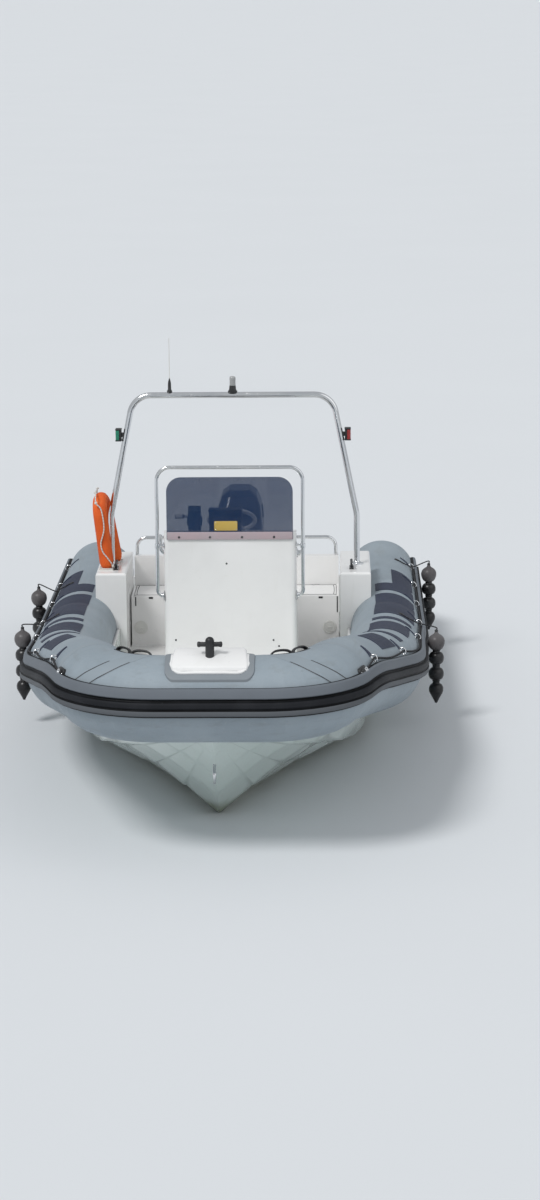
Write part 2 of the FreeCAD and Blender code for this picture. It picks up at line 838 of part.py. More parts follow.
def upright_console_edge(a, b):
    same_side = abs(a.x - b.x) < 1
    upright = same_side and abs(a.z - b.z) > 300 and abs(a.y - b.y) < 1
    return upright


round_edges(console, size["console_corner"], upright_console_edge)
nodes.append(console)

# Windscreen with rounded top corners
screen = pad("windscreen", "XZ_Plane", [
    (-size["screen_half"], lip - size["screen_overlap"]),
    (size["screen_half"], lip - size["screen_overlap"]),
    (size["screen_half"], size["screen_top"]), (-size["screen_half"], size["screen_top"])],
    size["screen_thickness"], offset=-console_y)


def top_screen_corner(a, b):
    high = min(a.z, b.z) > number(size["screen_top"]) - 1
    return high and abs(a.y - b.y) > 1


round_edges(screen, size["screen_corner"], top_screen_corner)
nodes.append(screen)

# Hoop round the windscreen and grab rails on the console's sides
small = size["small_tube_radius"]
hoop_y = console_y + 30
hoop_half = size["hoop_half"]
side_x = size["console_half"]
feature("windscreen_hoop", tube([
    (-side_x, hoop_y, size["hoop_foot"]), (-hoop_half, hoop_y, size["hoop_foot"]),
    (-hoop_half, hoop_y, size["hoop_top"]), (hoop_half, hoop_y, size["hoop_top"]),
    (hoop_half, hoop_y, size["hoop_foot"]), (side_x, hoop_y, size["hoop_foot"])],
    small, [40, 90, 90, 40]))
rail_height = 1150
rail_start = number(hoop_y + small)
grab = tube([(hoop_half, rail_start, rail_height), (hoop_half, console_rear - 60, rail_height),
             (hoop_half, console_rear - 60, 1020), (side_x, console_rear - 60, 1020)],
            small - 1, [45, 40])
feature("console_rails", pair(grab))

# Instrument box on the console's top
instruments = Part.makeBox(216, 80, 180, Vector(-143, number(dash_top) - 110, number(lip) - 62))
feature("instrument_box", instruments.cut(console.Shape))

# Engine control box on the dash, with its lever
control_y = number(dash_top)
box_profile = [(control_y + 20, 1200.2), (control_y + 20, 1340), (control_y + 60, 1372),
               (control_y + 110, 1350), (control_y + 120, 1125.2)]


def engine_control():
    slope_top = number(lip) - 35
    fall = 180.0 / (number(size["console_depth"]) - 260)
    shape = []
    for y, z in box_profile:
        shape.append(Vector(-292, y, z))
    shape[0].z = slope_top - 20 * fall + 0.1
    shape[-1].z = slope_top - 120 * fall + 0.1
    body = Part.Face(polygon(shape)).extrude(Vector(84, 0, 0))
    knob = Part.makeCylinder(15, 62, Vector(-384, control_y + 75, 1296), TO_PORT)
    lever = Part.makeCylinder(9, 34, Vector(-326, control_y + 75, 1296), TO_PORT)
    return body.fuse([knob, lever])


feature("engine_control", engine_control())

# Steering wheel, tilted square to the dash
dash_fall = Vector(0, number(size["console_depth"]) - 260, -180).normalize()
wheel_axis = Vector(0, -dash_fall.z, dash_fall.y)
dash_middle = Vector(0, number(dash_top), number(lip) - 35) + dash_fall * 150
wheel_centre = dash_middle + wheel_axis * number(size["wheel_stand"])


def steering_wheel():
    radius = number(size["wheel_radius"])
    rim = Part.makeTorus(radius, number(size["wheel_rim"]), wheel_centre, wheel_axis)
    hub = Part.makeCylinder(38, 34, wheel_centre - wheel_axis * 17, wheel_axis)
    parts = [hub]
    for turn in (90, 210, 330):
        arm = Rotation(wheel_axis, turn).multVec(dash_fall)
        parts.append(Part.makeCylinder(8, radius, wheel_centre, arm))
    return rim.fuse(parts)


feature("steering_wheel", steering_wheel())
helm_length = number(size["wheel_stand"]) - 17 - number(size["moving_gap"])
helm = Part.makeCylinder(30, helm_length, dash_middle, wheel_axis)
spindle = Part.makeCylinder(10, helm_length + number(size["moving_gap"]) - gap, dash_middle,
                            wheel_axis)
feature("helm_column", helm.fuse(spindle))

# Stern bench with two lockers under lids
bench_y = aft(before_stern("bench_from_stern"))
bench_rear = bench_y + size["bench_depth"]
half = size["bench_half"]
wall = size["bench_wall"]
ledge = size["lid_ledge"]
seat_top = size["bench_top"]
thick = size["lid_thickness"]
bench_block = box("bench_block", (-half, bench_y, sole), (half, bench_rear, seat_top))
well_side = half - wall
hollows = []
for name, side in (("port", 1), ("starboard", -1)):
    inner, outer = (wall, well_side) if side > 0 else (-well_side, -wall)
    hollows.append(box("locker_" + name, (inner, bench_y + wall, sole + wall),
                       (outer, bench_rear - wall, seat_top + 10)))
    hollows.append(box("recess_" + name,
                       (inner - ledge / 2, bench_y + wall - ledge / 2, seat_top - thick),
                       (outer + ledge / 2, bench_rear + 5, seat_top + 10)))
node("stern_seat", cut("bench", bench_block, hollows))
moving = size["moving_gap"]
for name, side in (("port", 1), ("starboard", -1)):
    inner, outer = (wall, well_side) if side > 0 else (-well_side, -wall)
    lid = box("lid_" + name,
              (inner - ledge / 2 + moving, bench_y + wall - ledge / 2 + moving,
               seat_top - thick + size["contact_gap"]),
              (outer + ledge / 2 - moving, bench_rear - moving, seat_top))
    node("seat_lid_" + name, lid)

# Backrest bulkhead and stern rail
back_rear = bench_rear + size["back_thickness"]
backrest = box("back", (-half, bench_rear, sole), (half, back_rear, size["back_top"]))
node("seat_back", backrest)
doc.recompute()
rail_y = bench_rear + size["back_thickness"] / 2
rail_half = size["stern_rail_half"] - 20
rail_foot = size["back_top"] - 10
stern_rail = tube([
    (-rail_half, rail_y, rail_foot), (-rail_half, rail_y, size["stern_rail_top"]),
    (rail_half, rail_y, size["stern_rail_top"]), (rail_half, rail_y, rail_foot)],
    small, [70, 70])
feature("stern_rail", stern_rail.cut(backrest.Shape))

# Round inspection plates on the bench's face
plates = []
for side in (-1, 1):
    plates.append(Part.makeCylinder(46, 6, Vector(side * 667, number(bench_y) - 6, 385), TO_STERN))
feature("inspection_plates", Part.makeCompound(plates))


# Side pods that carry the A-frame: each closes the side between the sole and the tube
pod_aft = before_stern("pod_from_stern")


def side_pod():
    inner, outer = number(size["pod_inner"]), number(size["pod_outer"])
    top = number(size["pod_top"])
    low = number(size["sole_height"]) + gap
    beside = station(length_at(COCKPIT_FRAMES[-1][0])).centre
    ledge = beside.z + gap
    liner = beside.x - tube_radius - number(size["liner_thickness"]) - gap
    outline = [(inner, low), (liner - 2 * SOLE_COVE, low), (liner, low + 2 * SOLE_COVE),
               (liner, ledge), (outer, ledge), (outer, top), (inner, top)]
    face = Part.Face(polygon([Vector(x, number(aft(pod_aft)), z) for x, z in outline]))
    block = face.extrude(TO_STERN * number(size["pod_length"]))
    upper = [e for e in block.Edges if min(v.Z for v in e.Vertexes) > top - 1]
    block = block.makeFillet(18, upper)
    return clear_of_collar(block)


pod = side_pod()
feature("side_pods", pair(pod))
frame_aft = before_stern("frame_from_stern")


# A-frame: one bent hoop on foot flanges
def a_frame():
    foot = number(size["pod_top"])
    y = number(aft(frame_aft))
    x, top_x = number(size["frame_half"]), number(size["frame_top_half"])
    top, kink = number(size["frame_top"]), number(size["frame_kink"])
    bend = number(size["frame_bend"])
    radius = number(size["frame_tube_radius"])
    low = foot - 10
    hoop = tube([(-x, y, low), (-x, y, kink), (-top_x, y, top), (top_x, y, top), (x, y, kink),
                 (x, y, low)], radius, [bend, bend, bend, bend])
    flange = Part.makeCylinder(45, 8, Vector(x, y, foot), UP)
    return hoop.fuse([flange, mirrored(flange)]).cut([pod, mirrored(pod)])


feature("a_frame", a_frame())


# Navigation lights on the legs, masthead light and aerial on the top bar
LIGHT_HEIGHT = 1774


def side_light():
    y = number(aft(frame_aft))
    kink, top = number(size["frame_kink"]), number(size["frame_top"])
    share = (LIGHT_HEIGHT - kink) / (top - kink)
    foot = number(size["frame_half"])
    leg = foot - (foot - number(size["frame_top_half"])) * share
    body = Part.makeBox(34, 62, 78, Vector(leg + 40, y - 31, LIGHT_HEIGHT - 39))
    bracket = Part.makeBox(40, 30, 20, Vector(leg + 1, y - 15, LIGHT_HEIGHT - 9))
    return body.fuse(bracket)


light = side_light().cut(doc.getObject("a_frame").Shape)
feature("nav_light_port", light)
feature("nav_light_starboard", mirrored(light))
bar_y = number(aft(frame_aft))
bar_top = number(size["frame_top"] + size["frame_tube_radius"])
mast = Part.makeCylinder(22, 50, Vector(0, bar_y, bar_top - 4), UP)
mast = mast.fuse([Part.makeCylinder(20, 42, Vector(0, bar_y, bar_top + 46), UP),
                  Part.makeSphere(20, Vector(0, bar_y, bar_top + 88))])
feature("masthead_light", mast.cut(doc.getObject("a_frame").Shape))
aerial = Part.makeCone(16, 11, 90, Vector(-438, bar_y, bar_top - 4), UP)
aerial = aerial.fuse(Part.makeCone(5, 2.5, 290, Vector(-438, bar_y, bar_top + 86), UP))
feature("antenna", aerial.cut(doc.getObject("a_frame").Shape))

# Horseshoe buoy astride the starboard leg, its feet on two plates on the pod
ring_radius = number(size["buoy_radius"])
plate_top = number(size["pod_top"]) + 8
buoy_low = plate_top + gap
buoy_top = number(size["buoy_top"]) - ring_radius
leg_x = number(size["frame_half"])
# outboard of the A-frame's foot and aft of it, at the ends and at the bends
BUOY_FEET = ((22, -150), (-22, 92))
BUOY_BENDS = ((76, -140), (62, 95))
buoy_path = [(-leg_x - BUOY_FEET[0][0], bar_y + BUOY_FEET[0][1], buoy_low),
             (-leg_x - BUOY_BENDS[0][0], bar_y + BUOY_BENDS[0][1], buoy_top),
             (-leg_x - BUOY_BENDS[1][0], bar_y + BUOY_BENDS[1][1], buoy_top),
             (-leg_x - BUOY_FEET[1][0], bar_y + BUOY_FEET[1][1], buoy_low)]
under_buoy = Part.makeBox(900, 900, 900, Vector(-leg_x - 450, bar_y - 450, buoy_low - 900))
feature("lifebuoy", tube(buoy_path, ring_radius, [112, 112]).cut(under_buoy))
plates = []
for out, back in BUOY_FEET:
    corner = Vector(-leg_x - out - 55, bar_y + back - 52, number(size["pod_top"]))
    plates.append(Part.makeBox(97, 104, 8, corner))
bracket = plates[0].cut(doc.getObject("a_frame").Shape)
rear_bracket = plates[1].cut(doc.getObject("a_frame").Shape)
feature("lifebuoy_bracket", Part.makeCompound([bracket, rear_bracket]))

# Stern cleats on the pods
cleat_base = Part.makeBox(30, 90, 10, Vector(806, number(aft(pod_aft + 120)), number(size["pod_top"])))
cleat_post = Part.makeBox(16, 40, 26, Vector(813, number(aft(pod_aft + 145)),
                                             number(size["pod_top"]) + 10))
cleat_bar = Part.makeCylinder(9, 160, Vector(821, number(aft(pod_aft + 85)),
                                             number(size["pod_top"]) + 42), TO_STERN)
feature("stern_cleats", pair(cleat_base.fuse([cleat_post, cleat_bar])))

# Lifelines: a rope looped along the outboard side of each tube between its fittings
# Fittings in thousandths of the overall length, angles on the tube
LIFELINE_FITTINGS = (116, 184, 256, 352, 446, 538, 624, 714, 806, 872)
LINE_ANGLE = 37
SAG_ANGLE = 29
PAD_RADIUS = 30
PAD_HEIGHT = 5
BOSS_RADIUS = 15
BOSS_HEIGHT = 17


def lifeline(rope):
    lift = tube_radius + PAD_HEIGHT + number(size["rope_radius"]) + 2
    points = []
    for a, b in zip(LIFELINE_FITTINGS, LIFELINE_FITTINGS[1:]):
        first, last = length_at(share_of_length(a)), length_at(share_of_length(b))
        points.append(skin_station(first).point(lift, LINE_ANGLE))
        for share, angle in ((0.25, SAG_ANGLE + 3), (0.5, SAG_ANGLE), (0.75, SAG_ANGLE + 3)):
            where = skin_station(first + (last - first) * share)
            points.append(where.point(lift, angle))
    end = skin_station(length_at(share_of_length(LIFELINE_FITTINGS[-1])))
    points.append(end.point(lift, LINE_ANGLE))
    return tube(points, rope, natural_bends(points))


feature("lifeline", pair(lifeline(number(size["rope_radius"]))))


def fittings():
    tunnel = lifeline(number(size["rope_radius"]) + gap)
    parts = []
    for place_along in LIFELINE_FITTINGS:
        s = skin_station(length_at(share_of_length(place_along)))
        base = s.point(tube_radius + gap, LINE_ANGLE)
        normal = (base - s.centre).normalize()
        disc = Part.makeCylinder(PAD_RADIUS, PAD_HEIGHT + 2, base - normal * 2, normal)
        boss = Part.makeCylinder(BOSS_RADIUS, BOSS_HEIGHT, base, normal)
        parts.append(clear_of_collar(disc.fuse(boss)).cut(tunnel))
    return Part.makeCompound(parts)


port_fittings = fittings()
feature("lifeline_fittings", pair(port_fittings))

stepped = patch(*STEPPED_PATCH[0]).fuse(patch(*STEPPED_PATCH[1])).removeSplitter()
patches = [patch(*row) for row in PATCHES] + [stepped]
feature("wear_patches", Part.makeCompound([pair(p.cut(port_fittings)) for p in patches]))

# Grab handles on the inner side of the bow tube's corners: distances along the tube's axis
HANDLES = (440, 625)
HANDLE_ANGLE = 118
HANDLE_HALF = 36


def handle(distance_along):
    s = skin_station(distance_along)
    base = s.point(tube_radius + gap, HANDLE_ANGLE)
    normal = (base - s.centre).normalize()
    along = s.tangent
    feet = []
    for side in (-1, 1):
        foot = base + along * (side * HANDLE_HALF)
        feet.append(Part.makeCylinder(18, 14, foot - normal * 8, normal))
    a = base - along * HANDLE_HALF + normal * 3
    b = base + along * HANDLE_HALF + normal * 3
    strap = tube([a, a + normal * 48, b + normal * 48, b], 7, [24, 24])
    return clear_of_collar(strap.fuse(feet))


feature("grab_handles", Part.makeCompound([pair(handle(d)) for d in HANDLES]))

# Fenders: strings of balls outboard of the strake; 1 port or -1 starboard, thousandths of the
# overall length, height of the top ball and patches that the cord crosses
FENDERS = [(1, 512, 566, 1), (1, 848, 570, 0), (-1, 515, 590, 1), (-1, 724, 576, 1)]


def on_side(side, shape):
    return shape if side > 0 else mirrored(shape)


FENDER_BALLS = (1.1, 1.0, 1.0, 0.9)


CORE_RADIUS = 9


def fender_string(place_along, top):
    ball = number(size["fender_radius"])
    pitch = number(size["fender_pitch"])
    x = number(size["beam_overall"]) / 2 + ball * FENDER_BALLS[0] + 4
    y = number(aft(share_of_length(place_along)))
    lowest = top - pitch * (len(FENDER_BALLS) - 1)
    core = Part.makeCylinder(CORE_RADIUS, top + ball + 12 - lowest, Vector(x, y, lowest), UP)
    balls = []
    for i, scale in enumerate(FENDER_BALLS):
        balls.append(Part.makeSphere(ball * scale, Vector(x, y, top - pitch * i)))
    return core.fuse(balls)


feature("fenders", Part.makeCompound([
    on_side(side, fender_string(place_along, top)) for side, place_along, top, _ in FENDERS]))


CORD_RADIUS = 4


def fender_cord(place_along, top, patches_crossed):
    s = skin_station(length_at(share_of_length(place_along)))
    ball = number(size["fender_radius"])
    x = number(size["beam_overall"]) / 2 + ball * FENDER_BALLS[0] + 4
    y = number(aft(share_of_length(place_along)))
    start = Vector(x, y, top + ball + 12)
    patch_top = (number(size["patch_thickness"]) + 2 * gap) * patches_crossed
    end = s.point(tube_radius + CORD_RADIUS + gap + patch_top, 62)
    over = s.point(tube_radius + 55, 42)
    points = [start, start + UP * 45, Vector(over.x, y, over.z), Vector(end.x, y, end.z)]
    return tube(points, CORD_RADIUS, natural_bends(points))


feature("fender_cords", Part.makeCompound([
    on_side(side, fender_cord(*row)) for side, *row in FENDERS]))

# Outboard: clamp bracket on the transom
pivot_y = number(transom_y - size["pivot_ahead"])
pivot_z = number(size["pivot_height"])
steer_y = number(transom_y + size["steer_behind"])
face_y = number(transom_y)
front_y = number(transom_front)
cut_z = number(size["transom_cut_height"])


def engine_clamp():
    low = number(size["sole_height"]) + 12
    outline = [(front_y - 30, low), (front_y, low), (front_y, cut_z),
               (face_y, cut_z), (face_y, -120), (face_y + 30, -120), (face_y + 42, cut_z + 60),
               (pivot_y + 30, pivot_z + 34), (pivot_y - 30, pivot_z + 34),
               (front_y - 30, cut_z + 20)]
    arms = []
    for x in (85, -115):
        face = Part.Face(polygon([Vector(x, y, z) for y, z in outline]))
        arms.append(face.extrude(Vector(30, 0, 0)))
    bar = Part.makeCylinder(number(size["tilt_tube_radius"]), 240, Vector(-120, pivot_y, pivot_z),
                            TO_PORT)
    low_bar = Part.makeBox(200, 22, 60, Vector(-100, face_y, -110))
    return arms[0].fuse([arms[1], bar, low_bar])


feature("engine_clamp", engine_clamp())


pan_low = number(size["cowl_bottom"]) - 110
barrel_top = pan_low - number(size["moving_gap"])
barrel_low = barrel_top - 480


def engine_swivel():
    radius = number(size["tilt_tube_radius"])
    eye = Part.makeCylinder(radius + 16, 150, Vector(-75, pivot_y, pivot_z), TO_PORT)
    arm = Part.makeBox(110, steer_y - pivot_y, 50, Vector(-55, pivot_y, pivot_z - 20))
    barrel = Part.makeCylinder(46, barrel_top - barrel_low, Vector(0, steer_y, barrel_low), UP)
    shape = eye.fuse([arm, barrel])
    bore = Part.makeCylinder(radius + number(size["running_gap"]), 160,
                             Vector(-80, pivot_y, pivot_z), TO_PORT)
    pin = Part.makeCylinder(number(size["kingpin_radius"] + size["running_gap"]), 600,
                            Vector(0, steer_y, barrel_low - 60), UP)
    return shape.cut([bore, pin])


feature("engine_swivel", engine_swivel())


def rounded_section(low_x, low_y, high_x, high_y, z, corner):
    """A rectangle with round corners at one height."""
    c = corner
    spots = [(low_x + c, low_y + c, 225), (high_x - c, low_y + c, 315),
             (high_x - c, high_y - c, 45), (low_x + c, high_y - c, 135)]
    arcs = []
    for x, y, middle in spots:
        ends = []
        for turn in (middle - 45, middle, middle + 45):
            angle = math.radians(turn)
            ends.append(Vector(x + c * math.cos(angle), y + c * math.sin(angle), z))
        arcs.append(ends)
    edges = []
    for i, ends in enumerate(arcs):
        edges.append(Part.Arc(*ends).toShape())
        edges.append(Part.LineSegment(ends[2], arcs[(i + 1) % 4][0]).toShape())
    return Part.Wire(edges)


# Cowl: share of the height, inset at the sides, at the front, at the rear, corner radius
COWL_SECTIONS = [
    (0.00, 8, 10, 14, 90),
    (0.08, 0, 0, 0, 95),
    (0.55, 4, 6, 14, 95),
    (0.80, 18, 34, 44, 90),
    (0.93, 46, 74, 96, 75),
    (1.00, 96, 130, 170, 45),
]


def cowl():
    low, high = number(size["cowl_bottom"]), number(size["cowl_top"])
    half_width = number(size["cowl_half"])
    start = steer_y - number(size["cowl_ahead"])
    end = start + number(size["cowl_length"])
    wires = []
    for share, side, front, rear, corner in COWL_SECTIONS:
        wires.append(rounded_section(side - half_width, start + front, half_width - side,
                                     end - rear, low + (high - low) * share, corner))
    return loft(wires)


feature("engine_cowl", cowl())


def engine_leg():
    start = steer_y - number(size["cowl_ahead"])
    end = start + number(size["cowl_length"])
    bottom = number(size["cowl_bottom"])
    pan = loft([rounded_section(-95, start + 60, 95, end - 150, pan_low, 70),
                rounded_section(-165, start + 10, 165, end - 20, bottom - 40, 85),
                rounded_section(-168, start + 8, 168, end - 14, bottom, 88)])
    plate_z = -number(size["plate_depth"])
    column_y = steer_y + 58
    column = loft([rounded_section(-55, column_y, 55, column_y + 210, plate_z, 50),
                   rounded_section(-72, column_y, 72, column_y + 240, pan_low, 60)])
    yoke_low = Part.makeBox(100, 140, 34, Vector(-50, steer_y - 36, barrel_low - 40))
    pin = Part.makeCylinder(number(size["kingpin_radius"]), pan_low + 10 - (barrel_low - 20),
                            Vector(0, steer_y, barrel_low - 20), UP)
    vent_plate = loft([rounded_section(-60, steer_y - 60, 60, column_y + 330, plate_z - 12, 55),
                       rounded_section(-60, steer_y - 60, 60, column_y + 330, plate_z, 55)])
    wide = loft([rounded_section(-115, column_y + 90, 115, column_y + 330, plate_z - 12, 60),
                 rounded_section(-115, column_y + 90, 115, column_y + 330, plate_z, 60)])
    shaft_z = -number(size["shaft_depth"])
    radius = number(size["gearcase_radius"])
    strut = loft([rounded_section(-20, column_y + 5, 20, column_y + 200, shaft_z, 19),
                  rounded_section(-34, column_y, 34, column_y + 215, plate_z, 32)])
    nose = [Vector(0, column_y - 45, 0), Vector(radius * 0.7, column_y - 20, 0),
            Vector(radius, column_y + 50, 0), Vector(radius, column_y + 190, 0),
            Vector(radius * 0.72, column_y + 270, 0), Vector(0, column_y + 270, 0)]
    gearcase = Part.Face(polygon(nose)).revolve(ORIGIN, TO_STERN, 360)
    gearcase.translate(Vector(0, 0, shaft_z))
    skeg_points = [(column_y + 20, shaft_z - radius * 0.8), (column_y + 190, shaft_z - radius * 0.8),
                   (column_y + 205, shaft_z - 190), (column_y + 150, shaft_z - 200)]
    skeg = Part.Face(polygon([Vector(-7, y, z) for y, z in skeg_points]))
    skeg = skeg.extrude(Vector(14, 0, 0))
    shaft = Part.makeCylinder(13, 420, Vector(0, column_y + 200, shaft_z), TO_STERN)
    nut = Part.makeCylinder(22, 22, Vector(0, column_y + 396, shaft_z), TO_STERN)
    shape = column.fuse([pan, yoke_low, pin, vent_plate, wide, strut, gearcase, skeg, shaft, nut])
    return shape.removeSplitter()


feature("engine_leg", engine_leg())
propeller_start = steer_y + 58 + 275


def propeller():
    shaft_z = -number(size["shaft_depth"])
    length = 116
    hub = Part.makeCylinder(36, length, Vector(0, propeller_start, shaft_z), TO_STERN)
    centre = Vector(0, propeller_start + length / 2, shaft_z)
    reach = number(size["propeller_radius"])
    blades = []
    for i in range(3):
        sections = []
        for share, chord, pitch in ((0.16, 80, 62), (0.55, 128, 44), (0.85, 112, 32),
                                    (1.0, 44, 28)):
            r = reach * share
            angle = math.radians(pitch)
            along = Vector(math.cos(angle), math.sin(angle), 0) * (chord / 2)
            side = Vector(-math.sin(angle), math.cos(angle), 0) * 4
            spots = [along * -1, side, along, side * -1]
            wire = polygon([p + UP * r for p in spots])
            sections.append(wire)
        blade = loft(sections)
        blade.rotate(ORIGIN, TO_STERN, 120 * i)
        blade.translate(centre)
        blades.append(blade)
    shape = hub.fuse(blades)
    bore = Part.makeCylinder(13 + number(size["running_gap"]), length + 20,
                             Vector(0, propeller_start - 10, shaft_z), TO_STERN)
    return shape.cut(bore)


feature("propeller", propeller())

doc.recompute()

# Every object has to be sound before anything is written.
faults = []
for item in doc.Objects:
    if "Invalid" in item.State or "Error" in item.State:
        faults.append(item.Label + " " + " ".join(item.State))
for item in nodes:
    if item.Shape.isNull() or not item.Shape.isValid():
        faults.append(item.Label + " has no valid shape")
if faults:
    raise RuntimeError("; ".join(faults))

os.makedirs("parts", exist_ok=True)
for item in nodes:
    item.Shape.exportStep(os.path.join("parts", item.Label + ".step"))
print(len(nodes), "nodes")
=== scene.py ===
"""Dressing of the inflatable rib boat: finishes, rigging, fastenings, camera and light."""

import json
import math

import bmesh
import bpy
from mathutils import Matrix, Vector
from mathutils.bvhtree import BVHTree

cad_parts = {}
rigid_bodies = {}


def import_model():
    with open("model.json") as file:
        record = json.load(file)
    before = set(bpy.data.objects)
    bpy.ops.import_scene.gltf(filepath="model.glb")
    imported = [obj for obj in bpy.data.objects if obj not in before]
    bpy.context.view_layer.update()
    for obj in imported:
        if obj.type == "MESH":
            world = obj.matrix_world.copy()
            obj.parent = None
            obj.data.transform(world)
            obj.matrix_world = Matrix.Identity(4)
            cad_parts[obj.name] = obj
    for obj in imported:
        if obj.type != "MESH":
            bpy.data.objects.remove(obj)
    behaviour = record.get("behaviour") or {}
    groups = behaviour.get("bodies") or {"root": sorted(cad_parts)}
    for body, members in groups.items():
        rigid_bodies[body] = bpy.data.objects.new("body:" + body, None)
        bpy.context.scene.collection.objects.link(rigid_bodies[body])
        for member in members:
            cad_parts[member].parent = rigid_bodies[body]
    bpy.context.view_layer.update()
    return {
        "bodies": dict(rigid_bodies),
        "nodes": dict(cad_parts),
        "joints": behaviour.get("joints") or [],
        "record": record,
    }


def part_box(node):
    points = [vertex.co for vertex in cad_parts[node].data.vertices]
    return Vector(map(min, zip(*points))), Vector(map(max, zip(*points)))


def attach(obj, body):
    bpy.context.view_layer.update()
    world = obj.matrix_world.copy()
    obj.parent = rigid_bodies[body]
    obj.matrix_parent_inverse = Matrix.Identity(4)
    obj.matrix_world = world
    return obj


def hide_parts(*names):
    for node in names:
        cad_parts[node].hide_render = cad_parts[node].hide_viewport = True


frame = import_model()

nodes = frame["nodes"]
scene = bpy.context.scene
CAMERA_EYE = Vector((0.67, -19.35, 5.0))


# Shader building
class Field:
    """A value in a material: arithmetic on it adds Math nodes."""

    def __init__(self, finish, socket):
        self.finish = finish
        self.socket = socket

    def math(self, operation, *others):
        return self.finish.value("Math", {"operation": operation}, [self, *others])

    def __add__(self, other):
        return self.math("ADD", other)

    __radd__ = __add__

    def __sub__(self, other):
        return self.math("SUBTRACT", other)

    def __rsub__(self, other):
        return (self * -1) + other

    def __mul__(self, other):
        return self.math("MULTIPLY", other)

    __rmul__ = __mul__

    def __truediv__(self, other):
        return self.math("DIVIDE", other)

    def power(self, exponent):
        return self.math("POWER", exponent)

    def sine(self):
        return self.math("SINE")

    def fraction(self):
        return self.math("FRACT")

    def size(self):
        return self.math("ABSOLUTE")

    def rise(self, low, high):
        """0 below low, 1 above high, smooth between."""
        settings = {"interpolation_type": "SMOOTHSTEP"}
        return self.finish.value("MapRange", settings, [self, low, high, 0.0, 1.0])


class Finish:
    """A procedural material for one of the boat's surfaces."""

    def __init__(self, name, **shader):
        self.material = bpy.data.materials.new(name)
        self.material.use_nodes = True
        self.tree = self.material.node_tree
        self.tree.nodes.clear()
        self.shader = self.tree.nodes.new("ShaderNodeBsdfPrincipled")
        self.output = self.tree.nodes.new("ShaderNodeOutputMaterial")
        self.tree.links.new(self.shader.outputs[0], self.output.inputs["Surface"])
        for key, value in shader.items():
            self.set(key.replace("_", " ").title().replace("Ior", "IOR"), value)

    def plug(self, socket, value):
        if isinstance(value, Field):
            self.tree.links.new(value.socket, socket)
        elif isinstance(value, bpy.types.NodeSocket):
            self.tree.links.new(value, socket)
        elif value is not None:
            if socket.type == "RGBA" and len(value) == 3:
                value = (*value, 1.0)
            socket.default_value = value

    def node(self, kind, settings, values):
        """Adds one node: settings first, then its inputs by order or by name."""
        made = self.tree.nodes.new("ShaderNode" + kind)
        for key, value in settings.items():
            setattr(made, key, value)
        pairs = values.items() if isinstance(values, dict) else enumerate(values)
        for key, value in pairs:
            self.plug(made.inputs[key], value)
        return made

    def value(self, kind, settings, values, output=0):
        return Field(self, self.node(kind, settings, values).outputs[output])

    def set(self, name, value):
        self.plug(self.shader.inputs[name], value)

    def source(self, kind, output):
        return self.node(kind, {}, {}).outputs[output]

    def place(self, scale=(1, 1, 1)):
        values = {"Vector": self.source("TexCoord", "Object"), "Scale": scale}
        return self.node("Mapping", {"vector_type": "POINT"}, values).outputs[0]

    def letter(self, vector, letter):
        split = self.node("SeparateXYZ", {}, [vector])
        return Field(self, split.outputs["XYZ".index(letter)])

    def axis(self, letter):
        return self.letter(self.source("TexCoord", "Object"), letter)

    def facing(self, letter):
        return self.letter(self.source("NewGeometry", "Normal"), letter)

    def along(self, letter):
        """A piece's own map: X runs along it and Y round it, both in metres."""
        return self.letter(self.source("TexCoord", "UV"), letter)

    def noise(self, scale, detail=3.0, roughness=0.55, where=None):
        values = {"Scale": scale, "Detail": detail, "Roughness": roughness,
                  "Vector": where if where is not None else self.place()}
        return self.value("TexNoise", {}, values)

    def cells(self, scale):
        values = {"Scale": scale, "Vector": self.place()}
        return self.value("TexVoronoi", {"feature": "F1"}, values)

    def mix(self, share, first, second):
        settings = {"data_type": "RGBA", "blend_type": "MIX"}
        made = self.node("Mix", settings, {0: share, 6: first, 7: second})
        return made.outputs[2]

    def bump(self, height, strength, distance):
        values = {"Height": height, "Strength": strength, "Distance": distance}
        self.set("Normal", self.node("Bump", {}, values).outputs[0])


def collar_fabric():
    """Coated fabric of the tubes: fine weave, soft mottling, painted shade and green water
    reflection low down.
    """
    f = Finish("collar_fabric", roughness=0.5, specular_ior_level=0.35)
    cloud = f.noise(2.2, 5.0, 0.6)
    speck = f.noise(60.0, 4.0, 0.7)
    streak = f.noise(9.0, 5.0, 0.65, f.place((1.0, 0.25, 4.0)))
    # Lowest part of the tubes, which takes painted shade and green water reflection
    low = 1.0 - f.axis("Z").rise(0.16, 0.42)
    base = f.mix(cloud.rise(0.3, 0.7), (0.262, 0.312, 0.352), (0.310, 0.362, 0.402))
    base = f.mix(speck.rise(0.55, 0.75) * 0.35, base, (0.38, 0.41, 0.42))
    base = f.mix(streak.rise(0.5, 0.72) * 0.3, base, (0.215, 0.235, 0.235))
    # Painted shade and water reflection: dark green streaks on the lowest part of the tubes
    base = f.mix(low * streak.rise(0.35, 0.65) * 0.55, base, (0.16, 0.175, 0.14))
    f.set("Base Color", base)
    f.set("Roughness", 0.42 + speck * 0.2 + cloud * 0.06)
    weave_a = (f.axis("Y") * 3200.0).sine()
    weave_b = ((f.axis("X") + f.axis("Z")) * 3200.0).sine()
    f.bump(weave_a * weave_b * 0.5 + speck * 0.8 + cloud * 2.0, 0.25, 0.0012)
    return f.material


